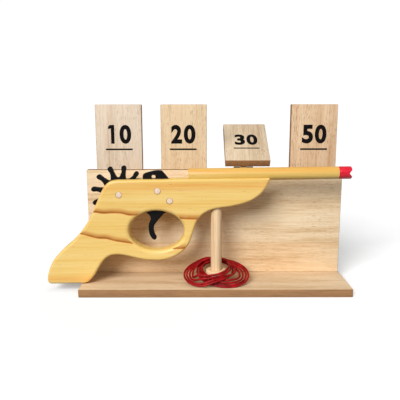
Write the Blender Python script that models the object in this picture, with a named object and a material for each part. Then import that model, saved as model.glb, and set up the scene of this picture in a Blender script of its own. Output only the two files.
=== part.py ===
"""Wooden rubber-band gun on its stand, with a row of four tip-over targets.

The origin is the middle of the base board's underside: X runs along the board, Y from
its front edge to its back edge, and Z is up. Sizes are in millimetres up to the point
where a mesh is made, and Blender's metres after it. The gun is drawn in its own plane:
x forward from the peg's axis, z up from the gun's flat top edge.
"""
import math

import bmesh
import bpy
from mathutils import Matrix, Vector

MM = 0.001
GAP = 0.3                    # left between pieces that touch

# Stand
BASE_LENGTH = 316.0
BASE_DEPTH = 71.0
BASE_THICK = 10.0
BOARD_EDGE = 0.8             # rounding of the boards' edges
PANEL_SETBACK = 2.0          # base board beyond each end of the panel
PANEL_HEIGHT = 129.8
PANEL_THICK = 10.0

# Screws that hold the panel from below
PANEL_SCREW_COUNT = 4
PANEL_SCREW_INSET = 30.0     # from the panel's ends to the outer screws
PANEL_SCREW_SHANK = 3.5
PANEL_SCREW_HEAD = 7.0
PANEL_SCREW_HEAD_DEPTH = 2.6
PANEL_SCREW_REACH = 20.0     # length inside the panel

# Peg and the round foot that it stands in
PEG_X = 1.4
PEG_SETBACK = 27.0           # from the base's front edge to the peg's axis
PEG_DIAMETER = 12.8
PEG_SEAT = 6.0               # depth of the peg's hole in the base
PEG_CHAMFER = 1.0
HUB_WALL = 5.6
HUB_HEIGHT = 15.0
HUB_EDGE = 1.5

# Targets and their hinges
TARGET_VALUES = (10, 20, 30, 50)
TARGET_WIDTH = 55.4
TARGET_HEIGHT = 78.0
TARGET_PITCH = 78.2
TARGET_ROW_SHIFT = 2.0       # the row's middle, right of the base's middle
TARGET_EDGE = 0.7
TIPPED_TARGET = 30
TIPPED_ANGLE = 57.8          # degrees back from upright
HINGE_LENGTH = 24.0
HINGE_SHIFT = -5.0           # hinge's middle, from its target's middle
HINGE_LEAF_WIDTH = 9.5
HINGE_LEAF_THICK = 1.2
KNUCKLE_RADIUS = 2.3
HINGE_BORE_RADIUS = 1.25
HINGE_PIN_PROUD = 0.4
HINGE_SCREW_SHANK = 2.0
HINGE_SCREW_HEAD = 3.8
HINGE_SCREW_HEAD_HEIGHT = 1.0
HINGE_SCREW_REACH = 7.0      # length inside the wood
HINGE_SCREW_SPACING = 15.0

# Gun body
GUN_RISE = 125.2             # from the base's top to the gun's top edge at the peg
GUN_TILT = 0.7               # degrees nose up, as it leans on its peg
GUN_THICK = 20.0
GUN_EDGE = 3.0
SLOT_WIDTH = 6.0
SOCKET_DEPTH = 15.0
GUARD_FROM_PEG = 70.2        # peg's axis back to the middle of the finger hole
HOLE_DROP = 60.0             # top edge down to the middle of the finger hole
HOLE_LENGTH = 63.6
HOLE_HEIGHT = 46.8
GUARD_BELOW = 12.2           # wood under the finger hole
GUARD_FRONT = 9.7            # wood in front of it
NOSE_FROM_PEG = 60.7
UNDERSIDE_AT_PEG = 34.6      # top edge down to the underside at the peg

# Wooden cross pins
PIN_DIAMETER = 7.0
STOP_PIN_FORWARD = 13.8      # from the trigger pin's axis
STOP_PIN_BELOW = 11.7

# Rotor and trigger
ROTOR_RADIUS = 33.3
ROTOR_TEETH = 12
ROTOR_PHASE = 19.0           # degrees, first tooth above the forward direction
ROTOR_DISC_RADIUS = 19.0
ROTOR_DROP = 17.0            # top edge down to the rotor's axis
TOOTH_WIDTH = 5.4
TOOTH_HOOK = 2.2             # how far each tip leans forward of its root
POCKET_MARGIN = 1.5
TRIGGER_DROP = 13.2          # top edge down to the trigger pin's axis
TRIGGER_AHEAD_OF_HOLE = 2.3
TRIGGER_BACK = 10.0          # plastic behind the trigger pin's axis
TRIGGER_MARGIN = 1.0         # between the rotor's tips and the trigger's back
TRIGGER_TRAVEL = 6.5         # degrees of pull that free the rotor

# Barrel and muzzle
BARREL_DIAMETER = 14.6
BARREL_RISE = 4.0            # barrel's axis above the gun's top edge
BARREL_REAR = 32.4           # behind the peg's axis
BARREL_FRONT = 140.2         # ahead of the peg's axis
TIP_LENGTH = 14.2
TIP_SPIGOT = 6.0
TIP_SPIGOT_LENGTH = 8.0
NOTCH_DEPTH = 3.2
NOTCH_HEIGHT = 7.6
TIP_EDGE = 1.0

# Rubber bands
BAND_THICK = 2.3
BAND_CLEAR = 0.45            # between bands where they cross
BAND_TILT = 17.5             # degrees, the pile leans on the panel behind it
BAND_SAMPLES = 144
BAND_STATIONS = 36
BAND_SIDES = 6
# Each loop, first laid first, in the pile's own plane: middle right of and behind the
# peg, half length and half depth beyond the hub's radius, and turn in degrees
BANDS = (
    (8.0, 3.2, 19.1, 14.5, -27.0),
    (8.0, 3.2, 16.1, 11.7, -27.0),
    (7.2, 2.9, 13.3, 9.0, -27.5),
    (5.6, 2.7, 11.0, 6.8, -27.0),
    (-7.4, 3.4, 19.1, 14.3, 27.0),
    (-7.4, 3.4, 16.1, 11.5, 27.0),
    (-7.0, 3.2, 13.2, 8.7, 27.5),
    (-6.0, 3.0, 10.6, 6.4, 28.0),
)

# Where the pieces meet
base_top = BASE_THICK
base_front = -BASE_DEPTH / 2
panel_length = BASE_LENGTH - 2 * PANEL_SETBACK
panel_bottom = base_top + GAP
panel_top = panel_bottom + PANEL_HEIGHT
panel_front = BASE_DEPTH / 2 - PANEL_THICK
panel_back = BASE_DEPTH / 2
peg_y = base_front + PEG_SETBACK
peg_radius = PEG_DIAMETER / 2
hub_radius = peg_radius + GAP + HUB_WALL
hinge_offset = KNUCKLE_RADIUS + GAP
hinge_y = panel_back + hinge_offset
hinge_z = panel_top + GAP / 2
gun_top = base_top + GUN_RISE
socket_top = gun_top - UNDERSIDE_AT_PEG + SOCKET_DEPTH
part_thick = SLOT_WIDTH - 2 * GAP
pin_hole_radius = PIN_DIAMETER / 2 + GAP
hole_x = -GUARD_FROM_PEG
trigger_x = hole_x + TRIGGER_AHEAD_OF_HOLE
rotor_x = trigger_x - TRIGGER_BACK - TRIGGER_MARGIN - ROTOR_RADIUS
stop_pin_x = trigger_x + STOP_PIN_FORWARD
stop_pin_z = -TRIGGER_DROP - STOP_PIN_BELOW
barrel_radius = BARREL_DIAMETER / 2

# The gun's outline: x from the rotor's axis, z from the top edge
BACK_STRAP = (
    (7.0, 0.0), (-1.0, 0.0), (-8.0, -1.0), (-13.0, -3.7), (-17.4, -8.6), (-21.6, -16.1),
    (-26.2, -26.1), (-31.4, -37.5), (-37.2, -48.0), (-46.0, -60.1), (-56.6, -71.3),
    (-68.6, -81.4), (-77.8, -91.0), (-83.6, -100.4), (-87.2, -110.0), (-88.5, -117.6),
)
BUTT = ((-88.0, -120.0), (-86.6, -121.9), (-84.2, -122.7), (-49.6, -122.5))
FRONT_STRAP = (
    (-45.6, -122.3), (-39.6, -120.4), (-33.2, -113.4), (-26.6, -102.9), (-20.8, -94.9),
    (-14.0, -89.6), (-5.6, -88.0), (4.4, -89.2), (17.6, -92.6), (29.0, -94.9),
)
# The fore end's underside: x from the peg's axis, z from the top edge
FORE_END = (
    (-25.2, -54.5), (-21.2, -46.3), (-14.6, -40.3), (-6.3, -36.3), (3.5, -34.3),
    (16.5, -32.6), (31.1, -29.2), (42.3, -24.6), (51.7, -17.2), (57.8, -8.8),
)
# The trigger's outline from its pin's axis: sear nose, top, front, blade and heel
SEAR_AND_FRONT = (
    (-16.6, 12.2), (-16.9, 17.0), (-15.3, 19.4), (-9.7, 21.2), (-3.0, 22.6), (3.9, 22.5),
    (6.4, 20.8), (12.0, 13.8), (11.8, 10.6), (9.2, 5.0), (8.4, -2.0), (8.8, -11.0),
    (10.4, -21.0), (9.6, -25.4), (5.5, -28.5), (1.4, -33.0), (-3.8, -39.0), (-6.3, -45.3),
    (-5.2, -52.0), (-3.2, -56.5), (-5.2, -58.9), (-8.5, -57.4), (-11.2, -51.8),
    (-12.2, -44.6), (-11.5, -39.5), (-9.4, -34.2), (-10.6, -29.6), (-13.7, -26.7),
)
SEAR_UNDERSIDE = ((-10.9, 8.6), (-13.2, 11.3))
HEEL_ANGLES = (-35.0, 14.0)  # the trigger's back follows the rotor between these
SEAR_WINDOWS = ((-4.6, 15.4, 2.4),)


# ---- scene, materials and placing ---------------------------------------------------

def clear_scene():
    for obj in list(bpy.data.objects):
        bpy.data.objects.remove(obj, do_unlink=True)


def material(name, colour, roughness, metallic=0.0):
    mat = bpy.data.materials.new(name)
    mat.use_nodes = True
    shader = mat.node_tree.nodes["Principled BSDF"]
    shader.inputs["Base Color"].default_value = (*colour, 1.0)
    shader.inputs["Roughness"].default_value = roughness
    shader.inputs["Metallic"].default_value = metallic
    return mat


def add(name, mesh, mat, parent=None):
    """One named piece, in metres, placed where its parent is."""
    obj = bpy.data.objects.new(name, mesh)
    bpy.context.scene.collection.objects.link(obj)
    if mat is not None:
        mesh.materials.clear()
        mesh.materials.append(mat)
    if parent is not None:
        obj.parent = parent
    return obj


def empty(name, place, parent=None):
    axis = bpy.data.objects.new(name, None)
    bpy.context.scene.collection.objects.link(axis)
    axis.location = Vector(place) * MM
    axis.parent = parent
    return axis


def finish_mesh(bm, name, smooth=False):
    """Turn a bmesh in millimetres into a mesh in metres with its faces outward."""
    bmesh.ops.recalc_face_normals(bm, faces=bm.faces)
    bmesh.ops.scale(bm, vec=(MM, MM, MM), verts=bm.verts)
    mesh = bpy.data.meshes.new(name)
    bm.to_mesh(mesh)
    bm.free()
    if smooth:
        mesh.shade_smooth()
        mesh.set_sharp_from_angle(angle=math.radians(35))
    return mesh


# ---- shapes -------------------------------------------------------------------------

def block(name, low, high, edge=0.0):
    """A rectangular block between two corners, with rounded edges."""
    bm = bmesh.new()
    bmesh.ops.create_cube(bm, size=1.0)
    size = Vector(high) - Vector(low)
    bmesh.ops.scale(bm, vec=size, verts=bm.verts)
    bmesh.ops.translate(bm, vec=(Vector(high) + Vector(low)) / 2, verts=bm.verts)
    if edge:
        bmesh.ops.bevel(bm, geom=bm.edges[:], offset=edge, segments=1, affect='EDGES')
    return finish_mesh(bm, name)


def turned(name, profile, sides, turn=None, place=(0, 0, 0)):
    """A solid of revolution about Z from (radius, height) points, bottom to top."""
    bm = bmesh.new()
    rings = []
    for radius, height in profile:
        if radius == 0:
            rings.append([bm.verts.new((0, 0, height))])
            continue
        angles = [2 * math.pi * i / sides for i in range(sides)]
        rings.append([bm.verts.new((radius * math.cos(a), radius * math.sin(a), height))
                      for a in angles])
    for low, high in zip(rings, rings[1:]):
        for i in range(sides):
            j = (i + 1) % sides
            corners = [low[i % len(low)], low[j % len(low)],
                       high[j % len(high)], high[i % len(high)]]
            bm.faces.new(list(dict.fromkeys(corners)))
    if turn is not None:
        bmesh.ops.rotate(bm, matrix=turn, verts=bm.verts)
    bmesh.ops.translate(bm, vec=place, verts=bm.verts)
    return finish_mesh(bm, name, smooth=True)


ALONG_X = Matrix.Rotation(math.radians(90), 3, 'Y')
ALONG_Y = Matrix.Rotation(math.radians(-90), 3, 'X')


def rod_profile(radius, start, end, chamfer=0.0):
    if not chamfer:
        return [(0, start), (radius, start), (radius, end), (0, end)]
    return [(0, start), (radius - chamfer, start), (radius, start + chamfer),
            (radius, end - chamfer), (radius - chamfer, end), (0, end)]


def rod_y(name, x, z, radius, length, sides, chamfer=0.0):
    """A round rod across the gun, its middle on the gun's middle plane."""
    profile = rod_profile(radius, -length / 2, length / 2, chamfer)
    return turned(name, profile, sides, ALONG_Y, (x, 0, z))


def extruded(name, outline, low, high, axis='Y', smooth=False):
    """A flat outline carried along Y (outline in x, z) or along X (outline in y, z)."""
    def corner(point, depth):
        return (point[0], depth, point[1]) if axis == 'Y' else (depth, point[0], point[1])
    bm = bmesh.new()
    near = [bm.verts.new(corner(p, low)) for p in outline]
    far = [bm.verts.new(corner(p, high)) for p in outline]
    bm.faces.new(near)
    bm.faces.new(list(reversed(far)))
    for i in range(len(outline)):
        j = (i + 1) % len(outline)
        bm.faces.new((near[i], far[i], far[j], near[j]))
    return finish_mesh(bm, name, smooth)


def smooth_run(points, steps, closed=False):
    """A smooth curve through the points: Catmull-Rom, with steps parts to a span."""
    count = len(points)
    pts = [Vector(p) for p in points]

    def at(i):
        if closed:
            return pts[i % count]
        if i < 0:
            return 2 * pts[0] - pts[1]
        if i >= count:
            return 2 * pts[-1] - pts[-2]
        return pts[i]

    curve = []
    for i in range(count if closed else count - 1):
        p0, p1, p2, p3 = at(i - 1), at(i), at(i + 1), at(i + 2)
        for k in range(steps):
            t = k / steps
            curve.append(0.5 * ((2 * p1) + (p2 - p0) * t
                                + (2 * p0 - 5 * p1 + 4 * p2 - p3) * t ** 2
                                + (3 * p1 - p0 - 3 * p2 + p3) * t ** 3))
    if not closed:
        curve.append(pts[-1])
    return [(p.x, p.y) for p in curve]


def ellipse(centre_x, centre_z, half_x, half_z, start, end, count):
    """Points on an ellipse from one angle to another, in degrees."""
    points = []
    for i in range(count):
        a = math.radians(start + (end - start) * i / (count - 1))
        points.append((centre_x + half_x * math.cos(a), centre_z + half_z * math.sin(a)))
    return points


# ---- cutting ------------------------------------------------------------------------

def cutter(mesh, parent=None):
    obj = add("cutter", mesh, None, parent)
    obj.hide_render = True
    obj.display_type = 'WIRE'
    return obj


def cut(obj, cutters):
    """Cut the cutters out of a piece, keep the result as its mesh and drop them."""
    for tool in cutters:
        step = obj.modifiers.new("cut", 'BOOLEAN')
        step.operation = 'DIFFERENCE'
        step.solver = 'EXACT'
        step.object = tool
    bpy.context.view_layer.update()
    graph = bpy.context.evaluated_depsgraph_get()
    mesh = bpy.data.meshes.new_from_object(obj.evaluated_get(graph))
    obj.modifiers.clear()
    obj.data = mesh
    for tool in cutters:
        bpy.data.objects.remove(tool, do_unlink=True)
    return mesh


def inset(loop, distance):
    """Move a closed outline into the wood on its left, with mitred corners."""
    moved = []
    for i, here in enumerate(loop):
        before = Vector(here) - Vector(loop[i - 1])
        after = Vector(loop[(i + 1) % len(loop)]) - Vector(here)
        left_before = Vector((-before.y, before.x)).normalized()
        left_after = Vector((-after.y, after.x)).normalized()
        middle = (left_before + left_after).normalized()
        moved.append(Vector(here) + middle * distance / middle.dot(left_after))
    return moved


def rounded_board(name, outline, hole, half, radius):
    """A board in the x, z plane with a hole, its rims rounded in two steps."""
    step = radius * (1 - math.cos(math.radians(45)))
    levels = [(radius, -half), (step, step - half), (0.0, radius - half)]
    levels += [(into, -y) for into, y in reversed(levels)]
    bm = bmesh.new()
    caps = {-half: [], half: []}
    for loop in (outline, list(reversed(hole))):
        rings = [[bm.verts.new((p.x, y, p.y)) for p in inset(loop, into)]
                 for into, y in levels]
        count = len(loop)
        for low, high in zip(rings, rings[1:]):
            for i in range(count):
                j = (i + 1) % count
                bm.faces.new((low[i], low[j], high[j], high[i]))
        for ring, y in ((rings[0], -half), (rings[-1], half)):
            caps[y] += [bm.edges.get((ring[i], ring[(i + 1) % count])) for i in range(count)]
    for edges in caps.values():
        bmesh.ops.triangle_fill(bm, edges=edges, use_beauty=True)
    return finish_mesh(bm, name, smooth=True)


# ---- stand --------------------------------------------------------------------------

def panel_screw_places():
    span = panel_length - 2 * PANEL_SCREW_INSET
    step = span / (PANEL_SCREW_COUNT - 1)
    return [-span / 2 + step * i for i in range(PANEL_SCREW_COUNT)]


def panel_screw_profile(slack):
    """Countersunk screw along Z, its head's face at z = 0, grown by slack for its hole."""
    shank = PANEL_SCREW_SHANK / 2 + slack
    head = PANEL_SCREW_HEAD / 2 + slack
    end = BASE_THICK + PANEL_SCREW_REACH + slack
    flat = 0.4
    return [(0, -slack), (head, -slack), (head, flat), (shank, PANEL_SCREW_HEAD_DEPTH + slack),
            (shank, end - 2 * shank), (0, end)]


def make_stand(looks):
    screw_y = (panel_front + panel_back) / 2
    base = add("base_board", block("base_board", (-BASE_LENGTH / 2, base_front, 0),
                                   (BASE_LENGTH / 2, panel_back, base_top), BOARD_EDGE),
               looks["board"])
    panel = add("back_panel", block("back_panel", (-panel_length / 2, panel_front, panel_bottom),
                                    (panel_length / 2, panel_back, panel_top), BOARD_EDGE),
                looks["board"])
    base_cuts = []
    panel_cuts = []
    for number, x in enumerate(panel_screw_places(), 1):
        place = (x, screw_y, GAP)
        mesh = turned("panel_screw", panel_screw_profile(0.0), 12, place=place)
        add(f"panel_screw_{number}", mesh, looks["steel"])
        profile = panel_screw_profile(GAP)
        base_profile = [(0, -2.0)] + [(profile[1][0], -2.0)] + profile[2:]
        base_cuts.append(cutter(turned("hole", base_profile, 12, place=place)))
        panel_cuts.append(cutter(turned("hole", profile, 12, place=place)))
    seat = rod_profile(peg_radius + GAP, base_top - PEG_SEAT, base_top + 5.0)
    base_cuts.append(cutter(turned("seat", seat, 28, place=(PEG_X, peg_y, 0))))
    cut(base, base_cuts)
    for x in hinge_places():
        for screw_x in hinge_screw_places(x):
            panel_cuts.append(hinge_screw_hole(screw_x, -1))
    cut(panel, panel_cuts)


def make_peg(looks):
    foot = base_top - PEG_SEAT + GAP
    profile = rod_profile(peg_radius, foot, socket_top - GAP, PEG_CHAMFER)
    place = (PEG_X, peg_y, 0)
    add("peg", turned("peg", profile, 28, place=place), looks["dowel"])
    bore = peg_radius + GAP
    low = base_top + GAP
    high = low + HUB_HEIGHT
    ring = [(bore, low), (hub_radius, low), (hub_radius, high - HUB_EDGE),
            (hub_radius - HUB_EDGE, high), (bore, high), (bore, low)]
    add("peg_hub", ring_solid("peg_hub", ring[:-1], 28, place), looks["dowel"])


def ring_solid(name, section, sides, place):
    """A closed ring about Z from a closed (radius, height) section."""
    bm = bmesh.new()
    rings = []
    for i in range(sides):
        a = 2 * math.pi * i / sides
        rings.append([bm.verts.new((r * math.cos(a), r * math.sin(a), h)) for r, h in section])
    for i in range(sides):
        here, there = rings[i], rings[(i + 1) % sides]
        for k in range(len(section)):
            m = (k + 1) % len(section)
            bm.faces.new((here[k], there[k], there[m], here[m]))
    bmesh.ops.translate(bm, vec=place, verts=bm.verts)
    return finish_mesh(bm, name, smooth=True)


# ---- targets and hinges -------------------------------------------------------------

def target_places():
    middle = (len(TARGET_VALUES) - 1) / 2
    return [TARGET_ROW_SHIFT + (i - middle) * TARGET_PITCH for i in range(len(TARGET_VALUES))]


def hinge_places():
    return [x + HINGE_SHIFT for x in target_places()]


def hinge_screw_places(x):
    return (x - HINGE_SCREW_SPACING / 2, x + HINGE_SCREW_SPACING / 2)


def hinge_screw_z(side):
    """Height of a leaf's screws from the pivot: side is -1 on the panel, 1 on a target."""
    inner = KNUCKLE_RADIUS + 2 * GAP
    return side * (inner + HINGE_LEAF_WIDTH) / 2


def hinge_screw_hole(x, side, pivot=(0, hinge_y, hinge_z), parent=None):
    profile = rod_profile(HINGE_SCREW_SHANK / 2 + GAP, -HINGE_SCREW_REACH - GAP, 1.0)
    place = (x + pivot[0], pivot[1] - hinge_offset, pivot[2] + hinge_screw_z(side))
    return cutter(turned("hole", profile, 8, ALONG_Y, place), parent)


def hinge_screw_mesh(side):
    """A pan-head screw from the pivot's middle, driven forward into the wood."""
    shank = HINGE_SCREW_SHANK / 2
    head = HINGE_SCREW_HEAD / 2
    seat = GAP + HINGE_LEAF_THICK + GAP
    profile = [(0, -HINGE_SCREW_REACH), (shank, 1.5 - HINGE_SCREW_REACH), (shank, seat),
               (head, seat), (head * 0.8, seat + HINGE_SCREW_HEAD_HEIGHT),
               (0, seat + HINGE_SCREW_HEAD_HEIGHT)]
    return turned("hinge_screw", profile, 8, ALONG_Y, (0, -hinge_offset, hinge_screw_z(side)))


def leaf_mesh(side):
    """A hinge leaf about its pivot at the origin: plate and knuckle in one outline."""
    outer = -KNUCKLE_RADIUS
    inner = outer + HINGE_LEAF_THICK
    meet = math.degrees(math.atan2(-math.sqrt(KNUCKLE_RADIUS ** 2 - inner ** 2), inner))
    knuckle = ellipse(0, 0, KNUCKLE_RADIUS, KNUCKLE_RADIUS, 180, meet, 12)
    outline = [(outer, -HINGE_LEAF_WIDTH)] + knuckle + [(inner, -HINGE_LEAF_WIDTH)]
    outline = [(y, z if side < 0 else -z) for y, z in outline]
    half = HINGE_LENGTH / 2
    leaf = add("leaf", extruded("leaf", outline, -half, half, 'X'), None)
    third = HINGE_LENGTH / 6
    reach = KNUCKLE_RADIUS + 2 * GAP
    if side < 0:
        spans = ((-third - GAP / 2, third + GAP / 2),)
    else:
        spans = ((-half - 1, -third + GAP / 2), (third - GAP / 2, half + 1))
    cuts = [cutter(block("notch", (a, -reach, -reach), (b, reach, reach)))
            for a, b in spans]
    bore = rod_profile(HINGE_BORE_RADIUS, -half - 1, half + 1)
    cuts.append(cutter(turned("bore", bore, 10, ALONG_X)))
    for x in hinge_screw_places(0):
        hole = rod_profile(HINGE_SCREW_SHANK / 2 + GAP, -hinge_offset, 1.0)
        cuts.append(cutter(turned("hole", hole, 8, ALONG_Y, (x, 0, hinge_screw_z(side)))))
    mesh = cut(leaf, cuts)
    bpy.data.objects.remove(leaf, do_unlink=True)
    return mesh


def make_target(value, x, parts, looks):
    hinge_x = x + HINGE_SHIFT
    fixed = empty(f"hinge_{value}_fixed", (hinge_x, hinge_y, hinge_z))
    axis = empty(f"hinge_{value}_axis", (hinge_x, hinge_y, hinge_z))
    if value == TIPPED_TARGET:
        axis.rotation_euler.x = -math.radians(TIPPED_ANGLE)
    add(f"panel_leaf_{value}", parts["panel_leaf"].copy(), looks["bronze"], fixed)
    add(f"hinge_pin_{value}", parts["hinge_pin"].copy(), looks["steel"], fixed)
    left = -TARGET_WIDTH / 2 - HINGE_SHIFT
    back = -hinge_offset
    low = GAP / 2
    shape = block("target", (left, back - PANEL_THICK, low),
                  (left + TARGET_WIDTH, back, low + TARGET_HEIGHT), TARGET_EDGE)
    target = add(f"target_{value}", shape, looks["target"], axis)
    cuts = [hinge_screw_hole(sx, 1, (0, 0, 0), axis) for sx in hinge_screw_places(0)]
    cut(target, cuts)
    add(f"target_leaf_{value}", parts["target_leaf"].copy(), looks["brass"], axis)
    for side, holder, word in ((-1, fixed, "panel"), (1, axis, "target")):
        for index, screw_x in enumerate(hinge_screw_places(0), 1):
            screw = add(f"{word}_leaf_screw_{value}_{index}", parts[word + "_screw"].copy(),
                        looks["brass"], holder)
            screw.location.x = screw_x * MM


def make_targets(looks):
    half = HINGE_LENGTH / 2 + HINGE_PIN_PROUD
    pin_radius = HINGE_BORE_RADIUS - GAP
    parts = {
        "panel_leaf": leaf_mesh(-1),
        "target_leaf": leaf_mesh(1),
        "hinge_pin": turned("hinge_pin", rod_profile(pin_radius, -half, half), 8, ALONG_X),
        "panel_screw": hinge_screw_mesh(-1),
        "target_screw": hinge_screw_mesh(1),
    }
    for value, x in zip(TARGET_VALUES, target_places()):
        make_target(value, x, parts, looks)


# ---- gun ----------------------------------------------------------------------------

def gun_outline():
    back = smooth_run([(rotor_x + x, z) for x, z in BACK_STRAP], 2)
    butt = [(rotor_x + x, z) for x, z in BUTT]
    strap = [(rotor_x + x, z) for x, z in FRONT_STRAP]
    guard = ellipse(hole_x, -HOLE_DROP, HOLE_LENGTH / 2 + GUARD_FRONT,
                    HOLE_HEIGHT / 2 + GUARD_BELOW, -97, -20, 9)
    fore = list(FORE_END)
    under = smooth_run(strap + guard + fore, 2)
    return back + butt + under + [(NOSE_FROM_PEG, 0.0)]


def make_gun_body(gun, looks):
    hole = ellipse(hole_x, -HOLE_DROP, HOLE_LENGTH / 2, HOLE_HEIGHT / 2, 0, 360, 41)[:-1]
    shape = rounded_board("gun_body", gun_outline(), hole, GUN_THICK / 2, GUN_EDGE)
    body = add("gun_body", shape, looks["pine"], gun)
    pocket = rod_y("rotor_pocket", rotor_x, -ROTOR_DROP, ROTOR_RADIUS + POCKET_MARGIN,
                   SLOT_WIDTH, 48)
    lever_room = block("lever_pocket", (trigger_x - 24.0, -SLOT_WIDTH / 2, -HOLE_DROP),
                       (stop_pin_x + 7.5, SLOT_WIDTH / 2, 10.0))
    groove = rod_profile(barrel_radius + GAP, -BARREL_REAR - GAP, NOSE_FROM_PEG + 10.0)
    cuts = [cutter(pocket, gun), cutter(lever_room, gun),
            cutter(turned("groove", groove, 32, ALONG_X, (0, 0, BARREL_RISE)), gun)]
    for x, z in pin_places().values():
        hole = rod_y("pin_hole", x, z, pin_hole_radius, GUN_THICK + 10, 16)
        cuts.append(cutter(hole, gun))
    socket = rod_profile(peg_radius + GAP, base_top + HUB_HEIGHT, socket_top)
    cuts.append(cutter(turned("socket", socket, 28, place=(PEG_X, peg_y, 0))))
    cut(body, cuts)


def pin_places():
    return {"rotor_axle": (rotor_x, -ROTOR_DROP), "trigger_pin": (trigger_x, -TRIGGER_DROP),
            "stop_pin": (stop_pin_x, stop_pin_z)}


def rotor_outline():
    """A disc with hooked fingers: each has a fillet, two flanks and a round end."""
    points = []
    half = TOOTH_WIDTH / 2
    pitch = 2 * math.pi / ROTOR_TEETH
    end = ROTOR_RADIUS - half
    for tooth in range(ROTOR_TEETH):
        a = math.radians(ROTOR_PHASE) + tooth * pitch
        along = Vector((math.cos(a), math.sin(a)))
        across = Vector((-math.sin(a), math.cos(a)))
        root = ROTOR_DISC_RADIUS
        middle = (root + end) / 2
        flank = [along * (root + 1.5) - across * (half + 0.9),
                 along * middle - across * (half + TOOTH_HOOK * 0.35),
                 along * end - across * (half + TOOTH_HOOK * 0.1)]
        cap = [along * (end + half * math.sin(t)) - across * (half * math.cos(t))
               for t in (math.radians(45), math.radians(90), math.radians(135))]
        other = [along * end + across * (half - TOOTH_HOOK * 0.1),
                 along * middle + across * (half - TOOTH_HOOK * 0.35),
                 along * (root + 1.5) + across * (half + 0.3)]
        valley = a + pitch / 2
        dip = [Vector((math.cos(valley), math.sin(valley))) * root]
        points += flank + cap + other + dip
    return [(p.x, p.y) for p in points]


def make_rotor(axis, looks):
    half = part_thick / 2
    rotor = add("rotor", extruded("rotor", rotor_outline(), -half, half), looks["black"], axis)
    cut(rotor, [cutter(rod_y("bore", 0, 0, pin_hole_radius, 20, 16), axis)])


def trigger_outline():
    """The lever. Its back lies on an arc about the rotor's axis: above the pin while it
    rests, and below the pin once it is pulled."""
    centre_x = rotor_x - trigger_x
    centre_z = TRIGGER_DROP - ROTOR_DROP
    radius = ROTOR_RADIUS + TRIGGER_MARGIN
    pull = math.radians(TRIGGER_TRAVEL)
    heel = []
    for x, z in ellipse(centre_x, centre_z, radius, radius, *HEEL_ANGLES, 6):
        if z < 0:
            x, z = (x * math.cos(pull) - z * math.sin(pull),
                    x * math.sin(pull) + z * math.cos(pull))
        heel.append((x, z))
    return smooth_run(list(SEAR_AND_FRONT) + heel + list(SEAR_UNDERSIDE), 2, closed=True)


def make_trigger(axis, looks):
    half = part_thick / 2
    lever = add("trigger", extruded("trigger", trigger_outline(), -half, half),
                looks["black"], axis)
    cuts = [cutter(rod_y("bore", 0, 0, pin_hole_radius, 20, 16), axis)]
    for x, z, radius in SEAR_WINDOWS:
        cuts.append(cutter(rod_y("window", x, z, radius, 20, 10), axis))
    cut(lever, cuts)


def make_barrel(gun, looks):
    bore = TIP_SPIGOT / 2 + GAP
    deep = TIP_SPIGOT_LENGTH + GAP
    profile = [(0, -BARREL_REAR), (barrel_radius - 0.6, -BARREL_REAR),
               (barrel_radius, -BARREL_REAR + 0.6), (barrel_radius, BARREL_FRONT),
               (bore, BARREL_FRONT), (bore, BARREL_FRONT - deep), (0, BARREL_FRONT - deep)]
    place = (0, 0, BARREL_RISE)
    add("barrel", turned("barrel", profile, 32, ALONG_X, place), looks["pine"], gun)
    start = BARREL_FRONT + GAP
    end = start + TIP_LENGTH
    spigot = TIP_SPIGOT / 2
    profile = [(0, start - TIP_SPIGOT_LENGTH), (spigot, start - TIP_SPIGOT_LENGTH),
               (spigot, start), (barrel_radius, start), (barrel_radius, end - TIP_EDGE),
               (barrel_radius - TIP_EDGE, end), (0, end)]
    tip = add("muzzle_tip", turned("muzzle_tip", profile, 32, ALONG_X, place),
              looks["red"], gun)
    half = NOTCH_HEIGHT / 2
    notch = [(end + 2.0, -half - 1.5), (end + 0.01, -half), (end - NOTCH_DEPTH * 0.8, -1.2),
             (end - NOTCH_DEPTH, 0), (end - NOTCH_DEPTH * 0.8, 1.2), (end + 0.01, half),
             (end + 2.0, half + 1.5)]
    notch = [(x, z + BARREL_RISE) for x, z in notch]
    cut(tip, [cutter(extruded("notch", notch, -10, 10), gun)])


def make_gun(looks):
    gun = empty("gun_axis", (PEG_X, peg_y, gun_top))
    gun.rotation_euler.y = -math.radians(GUN_TILT)
    make_gun_body(gun, looks)
    make_barrel(gun, looks)
    for name, (x, z) in pin_places().items():
        pin = rod_y(name, x, z, PIN_DIAMETER / 2, GUN_THICK, 16, 0.4)
        add(name, pin, looks["dowel"], gun)
    make_rotor(empty("rotor_axis", (rotor_x, 0, -ROTOR_DROP), gun), looks)
    make_trigger(empty("trigger_axis", (trigger_x, 0, -TRIGGER_DROP), gun), looks)


# ---- rubber bands -------------------------------------------------------------------

def band_loop(middle_x, middle_y, beyond_x, beyond_y, turn):
    """A loop in the pile's own plane, as flat (x, y) points from the peg's axis."""
    half_length, half_depth = hub_radius + beyond_x, hub_radius + beyond_y
    c, s = math.cos(math.radians(turn)), math.sin(math.radians(turn))
    loop = []
    for i in range(BAND_SAMPLES):
        a = 2 * math.pi * i / BAND_SAMPLES
        x, y = half_length * math.cos(a), half_depth * math.sin(a)
        loop.append((c * x - s * y + middle_x, s * x + c * y + middle_y))
    return loop


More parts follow.
